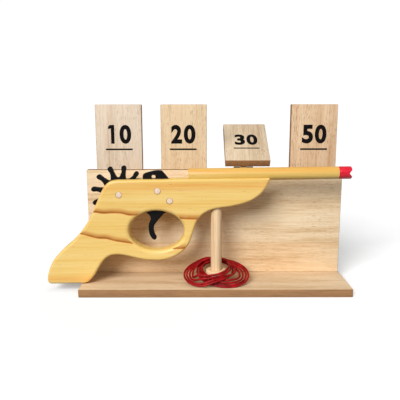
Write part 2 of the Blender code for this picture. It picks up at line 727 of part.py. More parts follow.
def drape(loop, laid):
    """Heights of a loop laid over those below it: what it needs at each point, spread
    along the loop and then averaged over the same reach, so that it never dips."""
    apart = BAND_THICK + BAND_CLEAR
    need = []
    for x, y in loop:
        height = 0.0
        for below, lifts in laid:
            for (bx, by), lift in zip(below, lifts):
                near = (x - bx) ** 2 + (y - by) ** 2
                if near < apart ** 2:
                    height = max(height, lift + math.sqrt(apart ** 2 - near))
        need.append(height)
    count = len(need)
    reach = BAND_SAMPLES // 16
    spread = [max(need[(i + k) % count] for k in range(-reach, reach + 1))
              for i in range(count)]
    weights = [math.cos(math.pi * k / (2 * reach + 2)) ** 2 for k in range(-reach, reach + 1)]
    total = sum(weights)
    return [sum(w * spread[(i + k - reach) % count] for k, w in enumerate(weights)) / total
            for i in range(count)]


def band_routes():
    """The middle line of every band, in world millimetres."""
    tilt = math.radians(BAND_TILT)
    loops = [band_loop(*band) for band in BANDS]
    front = min(y for loop in loops for x, y in loop)
    floor = base_top + GAP + BAND_THICK / 2
    laid = []
    routes = []
    for loop in loops:
        lifts = drape(loop, laid)
        laid.append((loop, lifts))
        routes.append([Vector((PEG_X + x,
                               peg_y + y * math.cos(tilt) - lift * math.sin(tilt),
                               floor + (y - front) * math.sin(tilt) + lift * math.cos(tilt)))
                       for (x, y), lift in zip(loop, lifts)])
    return routes


def band_mesh(name, route):
    """A round closed tube along every fourth point of the route."""
    step = BAND_SAMPLES // BAND_STATIONS
    stations = route[::step]
    count = len(stations)
    radius = BAND_THICK / 2
    bm = bmesh.new()
    rings = []
    for i, point in enumerate(stations):
        ahead = (stations[(i + 1) % count] - stations[i - 1]).normalized()
        side = ahead.cross(Vector((0, 0, 1))).normalized()
        lift = side.cross(ahead)
        ring = []
        for k in range(BAND_SIDES):
            a = 2 * math.pi * k / BAND_SIDES
            ring.append(bm.verts.new(point + side * radius * math.cos(a)
                                     + lift * radius * math.sin(a)))
        rings.append(ring)
    for i in range(count):
        here, there = rings[i], rings[(i + 1) % count]
        for k in range(BAND_SIDES):
            m = (k + 1) % BAND_SIDES
            bm.faces.new((here[k], here[m], there[m], there[k]))
    return finish_mesh(bm, name, smooth=True)


def make_bands(looks):
    for number, route in enumerate(band_routes(), 1):
        name = f"rubber_band_{number}"
        add(name, band_mesh(name, route), looks["rubber"])


def main():
    clear_scene()
    looks = {
        "board": material("board_wood", (0.72, 0.52, 0.33), 0.55),
        "target": material("target_wood", (0.76, 0.60, 0.43), 0.6),
        "dowel": material("dowel_wood", (0.83, 0.61, 0.40), 0.6),
        "pine": material("varnished_pine", (0.85, 0.53, 0.17), 0.3),
        "black": material("black_plastic", (0.02, 0.02, 0.022), 0.4),
        "red": material("red_lacquer", (0.65, 0.03, 0.06), 0.3),
        "rubber": material("red_rubber", (0.45, 0.02, 0.03), 0.6),
        "steel": material("plated_steel", (0.6, 0.6, 0.6), 0.35, 1.0),
        "bronze": material("dark_bronze", (0.16, 0.09, 0.05), 0.45, 1.0),
        "brass": material("brass", (0.65, 0.48, 0.25), 0.35, 1.0),
    }
    make_stand(looks)
    make_peg(looks)
    make_targets(looks)
    make_gun(looks)
    make_bands(looks)


main()
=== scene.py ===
"""Looks of the wooden rubber-band gun and its target stand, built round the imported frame."""
import math

import bmesh
import bpy
from mathutils import Matrix, Vector


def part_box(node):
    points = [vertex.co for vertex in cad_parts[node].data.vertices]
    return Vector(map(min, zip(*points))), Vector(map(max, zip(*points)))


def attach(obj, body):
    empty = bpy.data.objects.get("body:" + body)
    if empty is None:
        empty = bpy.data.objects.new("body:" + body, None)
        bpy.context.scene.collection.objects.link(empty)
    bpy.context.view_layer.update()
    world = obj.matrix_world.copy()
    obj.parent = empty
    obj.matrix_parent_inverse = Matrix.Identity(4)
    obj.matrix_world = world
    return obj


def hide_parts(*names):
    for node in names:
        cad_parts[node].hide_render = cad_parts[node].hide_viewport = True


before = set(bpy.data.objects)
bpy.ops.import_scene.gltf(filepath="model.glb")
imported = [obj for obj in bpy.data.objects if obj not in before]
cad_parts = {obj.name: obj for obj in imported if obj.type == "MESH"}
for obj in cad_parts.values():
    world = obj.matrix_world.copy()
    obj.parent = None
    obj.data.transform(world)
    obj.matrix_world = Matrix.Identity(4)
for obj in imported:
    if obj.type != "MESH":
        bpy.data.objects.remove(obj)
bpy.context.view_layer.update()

# Sizes in millimetres, as the frame has them
MM = 0.001
GAP = 0.3
PEG = (1.4, -8.5)
GUN_TOP = 135.2
GUN_TILT = 0.7
BORE = 6.4 + GAP
HUB_TOP = 25.3
HINGE_Y = 38.1
HINGE_Z = 140.25
HINGE_OFFSET = 2.6
HINGE_HALF = 12.0
TARGETS = {10: -120.3, 20: -42.1, 30: 36.1, 50: 114.3}
TIPPED = {30: 57.8}
BASE_TOP = 10.0
PANEL_MIDDLE = 30.5
PANEL_BACK = 35.5
PANEL_SCREWS = (-126.0, -42.0, 42.0, 126.0)
SCREW_X = 7.5                # of a leaf's two screws, from the hinge's middle
SCREW_Z = 6.2                # and from the hinge's pivot
GUN = Matrix.Translation((PEG[0], PEG[1], GUN_TOP)) @ Matrix.Rotation(
    -math.radians(GUN_TILT), 4, 'Y')


# ---- shader graphs ------------------------------------------------------------------

class Level:
    """A number in a shader graph that can be added, multiplied and compared."""

    def __init__(self, look, socket):
        self.look = look
        self.socket = socket

    def step(self, operation, *values, clamp=False):
        node = self.look.node('ShaderNodeMath', {"operation": operation, "use_clamp": clamp},
                              dict(enumerate(values)))
        return Level(self.look, node.outputs[0])

    def __add__(self, other):
        return self.step('ADD', self, other)

    def __sub__(self, other):
        return self.step('SUBTRACT', self, other)

    def __rsub__(self, other):
        return self.step('SUBTRACT', other, self)

    def __mul__(self, other):
        return self.step('MULTIPLY', self, other)

    def __truediv__(self, other):
        return self.step('DIVIDE', self, other)

    __radd__ = __add__
    __rmul__ = __mul__

    def size(self):
        return self.step('ABSOLUTE', self)

    def power(self, other):
        return self.step('POWER', self, other)

    def root(self):
        return self.step('SQRT', self)

    def part(self):
        return self.step('FRACT', self)

    def between(self, low, high):
        """0 below low, 1 above high, and a straight rise between them."""
        return self.step('MULTIPLY', self - low, 1.0 / (high - low), clamp=True)


class Look:
    """One finish: a Principled shader and the nodes that feed it."""

    def __init__(self, name, **fixed):
        self.material = bpy.data.materials.new(name)
        self.material.use_nodes = True
        self.tree = self.material.node_tree
        self.shader = self.tree.nodes["Principled BSDF"]
        for socket, value in fixed.items():
            self.shader.inputs[socket.replace("_", " ")].default_value = value
        self.point = self.node('ShaderNodeTexCoord').outputs["Object"]

    def turn_back(self, angle, height):
        """Paint a board as it was before it was tipped about a line along X."""
        node = self.node('ShaderNodeVectorRotate', {"rotation_type": 'X_AXIS'},
                         {"Vector": self.point, "Center": (0, HINGE_Y * MM, height * MM),
                          "Angle": angle})
        self.point = node.outputs[0]

    def node(self, kind, settings=(), values=()):
        node = self.tree.nodes.new(kind)
        for name, value in dict(settings).items():
            if name == "stops":
                stops = node.color_ramp.elements
                while len(stops) < len(value):
                    stops.new(1.0)
                for stop, (place, colour) in zip(stops, value):
                    stop.position = place
                    stop.color = (*colour, 1.0)
            else:
                setattr(node, name, value)
        for name, value in dict(values).items():
            socket = node.inputs[name]
            if isinstance(value, Level):
                value = value.socket
            if isinstance(value, bpy.types.NodeSocket):
                self.tree.links.new(value, socket)
            elif value is not None:
                socket.default_value = value
        return node

    def stretched(self, across, shift=(0, 0, 0)):
        """Object coordinates in millimetres, squeezed by three factors."""
        scale = tuple(factor / MM for factor in across)
        node = self.node('ShaderNodeMapping', {},
                         {"Vector": self.point, "Scale": scale, "Location": shift})
        return node.outputs[0]

    def noise(self, point, detail=2.0, roughness=0.5, distortion=0.0):
        node = self.node('ShaderNodeTexNoise', {},
                         {"Vector": point, "Scale": 1.0, "Detail": detail,
                          "Roughness": roughness, "Distortion": distortion})
        return Level(self, node.outputs["Fac"])

    def along(self):
        """The three object coordinates, in millimetres."""
        node = self.node('ShaderNodeSeparateXYZ', {}, {0: self.stretched((1, 1, 1))})
        return [Level(self, out) for out in node.outputs]

    def faces(self, direction):
        """1 where the surface looks along the direction or straight away from it."""
        normal = self.node('ShaderNodeTexCoord').outputs["Normal"]
        node = self.node('ShaderNodeVectorMath', {"operation": 'DOT_PRODUCT'},
                         {0: normal, 1: direction})
        return Level(self, node.outputs["Value"]).size().between(0.5, 0.85)

    def ramp(self, level, *stops):
        return self.node('ShaderNodeValToRGB', {"stops": stops}, {0: level}).outputs[0]

    def mix(self, factor, first, second, how='MIX'):
        node = self.node('ShaderNodeMix', {"data_type": 'RGBA', "blend_type": how},
                         {0: factor, 6: self.paint(first), 7: self.paint(second)})
        return node.outputs[2]

    def paint(self, colour):
        return (*colour, 1.0) if isinstance(colour, tuple) and len(colour) == 3 else colour

    def relief(self, height, depth, strength=1.0):
        """A bump that stands depth millimetres high where height is 1."""
        node = self.node('ShaderNodeBump', {}, {"Height": height, "Distance": depth * MM,
                                                "Strength": strength})
        self.tree.links.new(node.outputs[0], self.shader.inputs["Normal"])

    def feed(self, **links):
        for name, value in links.items():
            socket = value.socket if isinstance(value, Level) else value
            self.tree.links.new(socket, self.shader.inputs[name.replace("_", " ")])
        return self.material


def tone(red, green, blue):
    """A paint's own colour, from how it should read on a scale of 0 to 255."""
    def straight(value):
        value /= 255
        return value / 12.92 if value <= 0.04045 else ((value + 0.055) / 1.055) ** 2.4

    return tuple(min(0.95, straight(value)) for value in (red, green, blue))


# ---- finishes -----------------------------------------------------------------------

def board_wood(name, light, middle, dark, grain, broad_side, edge, seam=None, tipped=0.0,
               flecks=0.5):
    """Pale sealed board: broad soft streaks, fine fibres and short dark pores along its
    grain, which runs along X or Z. Faces that turn away from its broad side are drawn
    browner, and a seam splits it into two strips of their own."""
    look = Look(name, Specular_IOR_Level=0.25)
    if tipped:
        look.turn_back(tipped, HINGE_Z)
    _, _, z = look.along()

    def run(length, width, shift=0.0):
        across = ((1 / length, 1 / width, 1 / width) if grain == 'X'
                  else (1 / width, 1 / width, 1 / length))
        return look.stretched(across, (shift, shift * 0.7, shift * 1.3))

    broad = look.noise(run(120.0, 12.0, 3.1), 2.0, 0.5, 0.4)
    streak = look.noise(run(40.0, 1.7, 7.7), 4.0, 0.62, 0.3)
    fibre = look.noise(run(11.0, 0.7, 1.3), 2.0, 0.6)
    pore = look.noise(run(7.0, 0.75, 5.9), 2.0, 0.55)
    pore_fine = look.noise(run(3.4, 0.5, 15.9), 1.0, 0.5)
    patch = look.noise(run(45.0, 22.0, 9.0), 1.0, 0.5)
    sum_of = broad * 0.42 + streak * 0.38 + fibre * 0.26
    body = look.ramp(sum_of, (0.38, dark), (0.52, middle), (0.68, light))
    pores = pore.between(0.56, 0.66) * patch.between(0.32, 0.56)
    dots = pore_fine.between(0.66, 0.76)
    colour = look.mix(pores * flecks + dots * (flecks * 0.5), body,
                      tuple(c * part for c, part in zip(dark, (0.50, 0.40, 0.30))))
    if seam:
        below = 1 - z.between(seam - 0.6, seam + 0.6)
        warm = look.mix(below, (1.0, 1.0, 1.0), (0.97, 0.90, 0.83))
        colour = look.mix(1.0, colour, warm, 'MULTIPLY')
        line = 1 - (z - seam).size().between(0.2, 1.1)
        colour = look.mix(line * 0.16, colour, tuple(c * 0.6 for c in dark))
    # Faces that turn away from broad_side take this browner colour
    edge_face_tone = look.ramp(streak * 0.6 + fibre * 0.4, (0.36, tuple(c * 0.66 for c in edge)),
                     (0.62, edge))
    colour = look.mix(look.faces(broad_side), edge_face_tone, colour)
    look.relief(streak * 0.5 + fibre * 0.5 - pores * 0.8, 0.12, 0.5)
    return look.feed(Base_Color=colour, Roughness=0.55 + streak * 0.2)


def varnished_pine(name, top, foot, shade=(1.0, 1.0, 1.0)):
    """Yellow varnished pine: long straight streaks, an orange band a little way under
    its top edge, another near its foot, and short dark flecks."""
    look = Look(name, Specular_IOR_Level=0.4, Coat_Roughness=0.25)
    look.shader.inputs["Coat Weight"].default_value = 0.25
    x, y, z = look.along()
    light, middle, deep = (tuple(c * part for c, part in zip(tone(*rgb), shade)) for rgb in
                           ((250, 216, 146), (246, 204, 120), (234, 180, 84)))
    orange, brown = tone(228, 152, 60), tone(146, 88, 34)
    rise = z - x * 0.0122 - top
    wander = look.noise(look.stretched((1 / 120, 1 / 80, 1 / 40), (2, 5, 1)), 1.0, 0.5)
    rings = look.noise(look.node('ShaderNodeCombineXYZ', {},
                                 {0: x / 260.0, 1: y / 60.0,
                                  2: (z + wander * 10.0) / 6.5}).outputs[0], 3.0, 0.6)
    streak = look.noise(look.stretched((1 / 95, 1 / 2.6, 1 / 1.7), (3, 2, 9)), 3.0, 0.6)
    fibre = look.noise(look.stretched((1 / 46, 1 / 1.0, 1 / 0.7), (4, 1, 7)), 3.0, 0.6)
    colour = look.ramp(rings * 0.4 + streak * 0.34 + fibre * 0.28, (0.34, deep),
                       (0.50, middle), (0.66, light))
    band = rise.between(-15.0, -9.0) * (1 - rise.between(-6.0, -2.0))
    low = (1 - z.between(foot + 3.0, foot + 11.0)) * z.between(foot, foot + 3.0)
    lines = streak.between(0.44, 0.60)
    colour = look.mix(band * (0.18 + lines * 0.5) + low * (0.25 + lines * 0.6), colour,
                      orange)
    fleck = look.noise(look.stretched((1 / 9, 1 / 0.9, 1 / 0.8), (1, 9, 4)), 1.0, 0.5)
    colour = look.mix(fleck.between(0.72, 0.80) * 0.45, colour, brown)
    look.relief(fibre * 0.6 + streak * 0.4, 0.10, 0.35)
    return look.feed(Base_Color=colour, Roughness=0.38 + fibre * 0.16)


def gouged_pine():
    """The two grooves: painted shade, brown at the bottom, back to pine at their lips."""
    look = Look("gouged_pine", Specular_IOR_Level=0.3)
    _, y, _ = look.along()
    # Painted shade: the colour darkens with the depth into each groove, with random patches
    depth = (GUN_HALF - (y - PEG[1]).size()).between(0.0, 1.0)
    fibre = look.noise(look.stretched((1 / 26, 1 / 1.2, 1 / 0.8), (4, 1, 7)), 3.0, 0.6)
    patch = look.noise(look.stretched((1 / 13, 1 / 9, 1 / 9), (2, 5, 3)), 1.0, 0.5)
    groove_shade = depth * (0.3 + patch * 0.9) + fibre * 0.2
    colour = look.ramp(groove_shade, (0.12, tone(240, 194, 112)), (0.42, tone(216, 156, 78)),
                       (0.85, tone(166, 104, 44)))
    look.relief(fibre, 0.10, 0.4)
    return look.feed(Base_Color=colour, Roughness=0.5 + fibre * 0.2)


def dowel_wood(name, light, dark, grain):
    """Bare turned dowel: fine fibres along its length, and rings on its ends when it runs along
    Y.
    """
    look = Look(name, Roughness=0.6, Specular_IOR_Level=0.3)
    long, fine = 1 / 34, 1 / 1.1
    along = (fine, fine, long) if grain == 'Z' else (fine, long, fine)
    fibre = look.noise(look.stretched(along, (3, 8, 5)), 4.0, 0.62)
    soft = look.noise(look.stretched(tuple(s * 0.3 for s in along), (6, 2, 1)), 1.0, 0.5)
    colour = look.ramp(fibre * 0.7 + soft * 0.3, (0.36, dark), (0.58, light))
    x, _, z = look.along()
    far = ((x + 40.0).power(2.0) + (z - 92.0).power(2.0)).root()
    rings = (far / 1.3).part().between(0.55, 1.0)
    ends = look.faces((0.0, 1.0, 0.0))
    if grain == 'Y':
        colour = look.mix(rings * ends * 0.35, colour, tuple(c * 0.72 for c in dark))
    look.relief(fibre, 0.08, 0.5)
    return look.feed(Base_Color=colour, Roughness=0.5 + fibre * 0.2)


def black_plastic():
    """Semi-matt moulded plastic with a fine spark-eroded grain."""
    look = Look("black_plastic", Specular_IOR_Level=0.09)
    grain = look.noise(look.stretched((1 / 0.5, 1 / 0.5, 1 / 0.5)), 2.0, 0.6)
    cloud = look.noise(look.stretched((1 / 9, 1 / 9, 1 / 9)), 2.0, 0.5)
    look.relief(grain, 0.05, 0.6)
    colour = look.ramp(cloud, (0.3, (0.003, 0.003, 0.0035)), (0.7, (0.006, 0.0055, 0.006)))
    return look.feed(Base_Color=colour, Roughness=0.36 + cloud * 0.18)


def red_lacquer():
    """Glossy red dipped lacquer, a little uneven."""
    look = Look("red_lacquer", Specular_IOR_Level=0.3, Coat_Roughness=0.2)
    look.shader.inputs["Coat Weight"].default_value = 0.2
    cloud = look.noise(look.stretched((1 / 6, 1 / 4, 1 / 4)), 3.0, 0.55)
    colour = look.ramp(cloud, (0.35, tone(206, 14, 40)), (0.65, tone(228, 24, 52)))
    look.relief(cloud, 0.25, 0.35)
    return look.feed(Base_Color=colour, Roughness=0.26 + cloud * 0.12)


def red_rubber():
    """Soft rubber strip: darker dust in patches and a faint skin across it."""
    look = Look("red_rubber", Specular_IOR_Level=0.2)
    cloud = look.noise(look.stretched((1 / 7, 1 / 7, 1 / 5)), 2.0, 0.6)
    skin = look.noise(look.stretched((1 / 0.6, 1 / 0.6, 1 / 0.6)), 2.0, 0.6)
    colour = look.ramp(cloud, (0.32, tone(112, 6, 10)), (0.55, tone(156, 10, 16)),
                       (0.72, tone(184, 22, 28)))
    look.relief(skin, 0.06, 0.5)
    return look.feed(Base_Color=colour, Roughness=0.38 + skin * 0.2)


def metal(name, colour, worn, roughness):
    """Plated metal or brass, or brass painted dark as shade: brushed along the piece and rubbed
    bright in places.
    """
    look = Look(name)
    look.shader.inputs["Metallic"].default_value = 1.0
    brushed = look.noise(look.stretched((1 / 14, 1 / 0.5, 1 / 0.5), (2, 3, 4)), 3.0, 0.6)
    rubbed = look.noise(look.stretched((1 / 3, 1 / 3, 1 / 3), (7, 1, 5)), 3.0, 0.6)
    base = look.ramp(rubbed, (0.42, colour), (0.66, worn))
    look.relief(brushed, 0.03, 0.4)
    return look.feed(Base_Color=base, Roughness=roughness + brushed * 0.2)


def ink():
    """Black printed ink, slightly thin over the wood's pores."""
    look = Look("ink", Specular_IOR_Level=0.05)
    thin = look.noise(look.stretched((1 / 0.9, 1 / 0.9, 1 / 6)), 3.0, 0.6)
    colour = look.ramp(thin, (0.60, (0.005, 0.004, 0.004)), (0.90, (0.03, 0.022, 0.018)))
    return look.feed(Base_Color=colour, Roughness=0.5 + thin * 0.2)


# ---- mesh tools ---------------------------------------------------------------------

CREASE = math.radians(35)    # edges sharper than this stay sharp
ALONG = {'X': Matrix.Rotation(math.radians(90), 3, 'Y'),
         'Y': Matrix.Rotation(math.radians(-90), 3, 'X'), 'Z': Matrix.Identity(3)}


def add_object(name, mesh):
    obj = bpy.data.objects.new(name, mesh)
    bpy.context.scene.collection.objects.link(obj)
    return obj


def as_mesh(name, bm):
    bmesh.ops.recalc_face_normals(bm, faces=bm.faces)
    mesh = bpy.data.meshes.new(name)
    bm.to_mesh(mesh)
    bm.free()
    return mesh


def settle(name, mesh, body, stands_for):
    """A finished mesh in metres as a piece that rides on a body."""
    mesh.shade_smooth()
    mesh.set_sharp_from_angle(angle=CREASE)
    obj = add_object(name, mesh)
    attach(obj, body)
    if stands_for:
        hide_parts(*stands_for)


def piece(name, bm, look, body, stands_for, place=None):
    """A shape in millimetres as a finished piece: placed and scaled in its mesh."""
    if place is not None:
        bmesh.ops.transform(bm, matrix=place, verts=bm.verts)
    bmesh.ops.scale(bm, vec=(MM, MM, MM), verts=bm.verts)
    mesh = as_mesh(name, bm)
    for finish in look if isinstance(look, tuple) else (look,):
        mesh.materials.append(finish)
    settle(name, mesh, body, stands_for)


def evaluated(obj):
    bpy.context.view_layer.update()
    graph = bpy.context.evaluated_depsgraph_get()
    return bpy.data.meshes.new_from_object(obj.evaluated_get(graph))


def carve(bm, tools, finishes=1):
    """Cut closed shapes out of another one, all in millimetres. With two finishes, the
    cut faces keep the number of the finish that their cutter has."""
    blank = add_object("blank", as_mesh("blank", bm))
    cutters = [add_object("cutter", as_mesh("cutter", tool)) for tool in tools]
    for obj in [blank] + cutters:
        for _ in range(finishes):
            obj.data.materials.append(None)
    for tool in cutters:
        step = blank.modifiers.new("cut", 'BOOLEAN')
        step.operation = 'DIFFERENCE'
        step.solver = 'EXACT'
        step.object = tool
    result = bmesh.new()
    result.from_mesh(evaluated(blank))
    for obj in [blank] + cutters:
        bpy.data.objects.remove(obj, do_unlink=True)
    return result


def joined(*shapes):
    """Several closed shapes as one mesh."""
    whole = bmesh.new()
    for bm in shapes:
        mesh = as_mesh("part", bm)
        whole.from_mesh(mesh)
    return whole


def block(low, high, edge=0.0):
    bm = bmesh.new()
    bmesh.ops.create_cube(bm, size=1.0)
    low, high = Vector(low), Vector(high)
    bmesh.ops.scale(bm, vec=high - low, verts=bm.verts)
    bmesh.ops.translate(bm, vec=(high + low) / 2, verts=bm.verts)
    if edge:
        bmesh.ops.bevel(bm, geom=bm.edges[:], offset=edge, segments=3, profile=0.5,
                        affect='EDGES')
    return bm


def turned(profile, sides, axis='Z', place=(0, 0, 0), ring=False):
    """A turned solid from (radius, height) points, or a ring from a closed section."""
    bm = bmesh.new()
    rings = []
    for radius, height in profile:
        if radius == 0:
            rings.append([bm.verts.new((0, 0, height))])
            continue
        rings.append([bm.verts.new((radius * math.cos(2 * math.pi * i / sides),
                                    radius * math.sin(2 * math.pi * i / sides), height))
                      for i in range(sides)])
    pairs = list(zip(rings, rings[1:]))
    if ring:
        pairs.append((rings[-1], rings[0]))
    for low, high in pairs:
        for i in range(sides):
            j = (i + 1) % sides
            corners = [low[i % len(low)], low[j % len(low)],
                       high[j % len(high)], high[i % len(high)]]
            bm.faces.new(list(dict.fromkeys(corners)))
    bmesh.ops.rotate(bm, matrix=ALONG[axis], verts=bm.verts)
    bmesh.ops.translate(bm, vec=place, verts=bm.verts)
    return bm


def rounded(radius, start, end, edge):
    """A rod's half outline with rounded ends."""
    steps = 4
    points = [(0, start)]
    for i in range(steps + 1):
        a = math.pi / 2 * i / steps
        points.append((radius - edge + edge * math.sin(a), start + edge - edge * math.cos(a)))
    for i in range(steps + 1):
        a = math.pi / 2 * i / steps
        points.append((radius - edge + edge * math.cos(a), end - edge + edge * math.sin(a)))
    return points + [(0, end)]


def rod(radius, start, end, sides=48, axis='Z', place=(0, 0, 0), edge=0.0):
    profile = (rounded(radius, start, end, edge) if edge
               else [(0, start), (radius, start), (radius, end), (0, end)])
    return turned(profile, sides, axis, place)


def smooth_run(points, steps, closed=False):
    """A smooth curve through the points, with steps parts to a span."""
    count = len(points)
    pts = [Vector(p) for p in points]

    def at(i):
        if closed:
            return pts[i % count]
        if i < 0:
            return 2 * pts[0] - pts[1]
        if i >= count:
            return 2 * pts[-1] - pts[-2]
        return pts[i]

    curve = []
    for i in range(count if closed else count - 1):
        p0, p1, p2, p3 = at(i - 1), at(i), at(i + 1), at(i + 2)
        for k in range(steps):
            t = k / steps
            curve.append(0.5 * ((2 * p1) + (p2 - p0) * t
                                + (2 * p0 - 5 * p1 + 4 * p2 - p3) * t ** 2
                                + (3 * p1 - p0 - 3 * p2 + p3) * t ** 3))
    if not closed:
        curve.append(pts[-1])
    return [(p.x, p.y) for p in curve]


def ellipse(centre_x, centre_z, half_x, half_z, start, end, count):
    points = []
    for i in range(count):
        a = math.radians(start + (end - start) * i / (count - 1))
        points.append((centre_x + half_x * math.cos(a), centre_z + half_z * math.sin(a)))
    return points


def ring_of(x, z, radius, count):
    return ellipse(x, z, radius, radius, 0, 360, count + 1)[:-1]


def inset(loop, distance):
    """Move a closed outline to its left; an edge that would turn over shrinks to a point."""
    moved = []
    count = len(loop)
    for i, here in enumerate(loop):
        before = Vector(here) - Vector(loop[i - 1])
        after = Vector(loop[(i + 1) % count]) - Vector(here)
        left_before = Vector((-before.y, before.x)).normalized()
        left_after = Vector((-after.y, after.x)).normalized()
        middle = (left_before + left_after).normalized()
        moved.append(Vector(here) + middle * distance / max(0.4, middle.dot(left_after)))
    for _ in range(12):
        clean = True
        for i in range(count):
            j = (i + 1) % count
            along = Vector(loop[j]) - Vector(loop[i])
            if (moved[j] - moved[i]).dot(along) < -1e-9:
                moved[i] = moved[j] = (moved[i] + moved[j]) / 2
                clean = False
        if clean:
            break
    return moved


def rim_levels(half, edge, steps):
    """How far each step of a rounded rim stands back, and where it is across a board."""
    levels = [(edge + 0.35, -half)]
    for i in range(steps + 1):
        a = math.pi / 2 * i / steps
        levels.append((edge - edge * math.sin(a), -half + edge - edge * math.cos(a)))
    return levels + [(into, -y) for into, y in reversed(levels)]


def plate(outline, holes, half, edge, steps=5, hole_edge=None):
    """A board in the x, z plane with holes, every rim rounded; outline runs
    anticlockwise, and so do the holes."""
    bm = bmesh.new()
    for loop in [outline] + [list(reversed(hole)) for hole in holes]:
        levels = rim_levels(half, edge if loop is outline else hole_edge or edge, steps)
        rings = [[bm.verts.new((p.x, y, p.y)) for p in inset(loop, into)]
                 for into, y in levels]
        count = len(loop)
        for low, high in zip(rings, rings[1:]):
            for i in range(count):
                j = (i + 1) % count
                bm.faces.new((low[i], low[j], high[j], high[i]))
    bmesh.ops.remove_doubles(bm, verts=bm.verts, dist=1e-4)
    for y in (-half, half):
        rim = [e for e in bm.edges if e.is_boundary and abs(e.verts[0].co.y - y) < 1e-5]
        bmesh.ops.triangle_fill(bm, edges=rim, use_beauty=True)
    return bm


# ---- repeated small parts -----------------------------------------------------------

def node_tree(name, inputs):
    """A geometry tree with named inputs; returns it with its input and output nodes."""
    tree = bpy.data.node_groups.new(name, 'GeometryNodeTree')
    tree.interface.new_socket("Geometry", in_out='INPUT', socket_type='NodeSocketGeometry')
    for label, kind, value in inputs:
        socket = tree.interface.new_socket(label, in_out='INPUT', socket_type=kind)
        if value is not None:
            socket.default_value = value
    tree.interface.new_socket("Geometry", in_out='OUTPUT', socket_type='NodeSocketGeometry')
    return tree, tree.nodes.new('NodeGroupInput'), tree.nodes.new('NodeGroupOutput')


def wire(tree, *links):
    for source, output, target, entry in links:
        tree.links.new(source.outputs[output], target.inputs[entry])


def run_tree(mesh, tree, **values):
    """Put a mesh through a geometry tree and return the plain mesh that comes out."""
    obj = add_object("path", mesh)
    step = obj.modifiers.new("nodes", 'NODES')
    step.node_group = tree
    for item in tree.interface.items_tree:
        if item.item_type == 'SOCKET' and item.in_out == 'INPUT' and item.name in values:
            step[item.identifier] = values[item.name]
    result = evaluated(obj)
    bpy.data.objects.remove(obj, do_unlink=True)
    return result


def row_tree():
    """Sets one model part at every point of the mesh that goes in."""
    tree, inside, out = node_tree("row_of_parts", (("Part", 'NodeSocketObject', None),
                                                   ("Finish", 'NodeSocketMaterial', None)))
    part = tree.nodes.new('GeometryNodeObjectInfo')
    place = tree.nodes.new('GeometryNodeInstanceOnPoints')
    real = tree.nodes.new('GeometryNodeRealizeInstances')
    finish = tree.nodes.new('GeometryNodeSetMaterial')
    wire(tree, (inside, "Part", part, "Object"), (inside, "Geometry", place, "Points"),
         (part, "Geometry", place, "Instance"), (place, "Instances", real, "Geometry"),
         (real, "Geometry", finish, "Geometry"), (inside, "Finish", finish, "Material"),
         (finish, "Geometry", out, "Geometry"))
    return tree


def band_tree():
    """Turns a closed line into a rubber band of one thickness."""
    tree, inside, out = node_tree("band_from_line", (("Radius", 'NodeSocketFloat', 0.001),
                                                     ("Sides", 'NodeSocketInt', 12),
                                                     ("Finish", 'NodeSocketMaterial', None)))
    line = tree.nodes.new('GeometryNodeMeshToCurve')
    ring = tree.nodes.new('GeometryNodeCurvePrimitiveCircle')
    tube = tree.nodes.new('GeometryNodeCurveToMesh')
    real = tree.nodes.new('GeometryNodeRealizeInstances')
    finish = tree.nodes.new('GeometryNodeSetMaterial')
    wire(tree, (inside, "Geometry", line, "Mesh"), (inside, "Radius", ring, "Radius"),
         (inside, "Sides", ring, "Resolution"), (line, "Curve", tube, "Curve"),
         (ring, "Curve", tube, "Profile Curve"), (tube, "Mesh", real, "Geometry"),
         (real, "Geometry", finish, "Geometry"), (inside, "Finish", finish, "Material"),
         (finish, "Geometry", out, "Geometry"))
    return tree


def screw_head(radius, height, shank, reach, across):
    """A screw along Z, head up from z = 0, with a crossed recess in its head."""
    dome = []
    for i in range(6):
        a = math.pi / 2 * i / 5
        dome.append((radius - height * 0.6 + height * 0.6 * math.cos(a),
                     height * 0.4 + height * 0.6 * math.sin(a)))
    body = turned([(0, -reach), (shank * 0.5, -reach + 1.0), (shank, -reach + 2.2),
                   (shank, 0.0), (radius, 0.0)] + dome + [(0, height)], 24)
    arm = across / 2
    cuts = [block((-arm, -0.22, height - 0.7), (arm, 0.22, height + 1)),
            block((-0.22, -arm, height - 0.69), (0.22, arm, height + 1.01))]
    return carve(body, cuts)


# ---- stand --------------------------------------------------------------------------

def corners(node):
    low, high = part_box(node)
    return Vector(low) / MM, Vector(high) / MM


def make_boards(wood, edge_wood):
    low, high = corners("base_board")
    seat = rod(BORE, 4.0, 20.0, 48, place=(*PEG, 0))
    cuts = [seat]
    for x in PANEL_SCREWS:
        place = (x, PANEL_MIDDLE, GAP)
        profile = [(0, -2.0), (3.8, -2.0), (3.8, 0.4), (2.05, 2.9), (2.05, 30.0), (0, 30.0)]
        cuts.append(turned(profile, 32, place=place))
    piece("base_plank", carve(block(low, high, 0.9), cuts), wood, "stand",
          ["base_board"])
    low, high = corners("back_panel")
    low.z = BASE_TOP + 0.02
    cuts = [rod(2.05, 5.0, 30.5, 24, place=(x, PANEL_MIDDLE, 0)) for x in PANEL_SCREWS]
    for x in TARGETS.values():
        for side in (-SCREW_X, SCREW_X):
            place = (x + side, PANEL_BACK, HINGE_Z - SCREW_Z)
            cuts.append(rod(1.3, -7.3, 1.0, 16, 'Y', place))
    piece("back_plank", carve(block(low, high, 0.9), cuts), edge_wood, "stand",
          ["back_panel"])


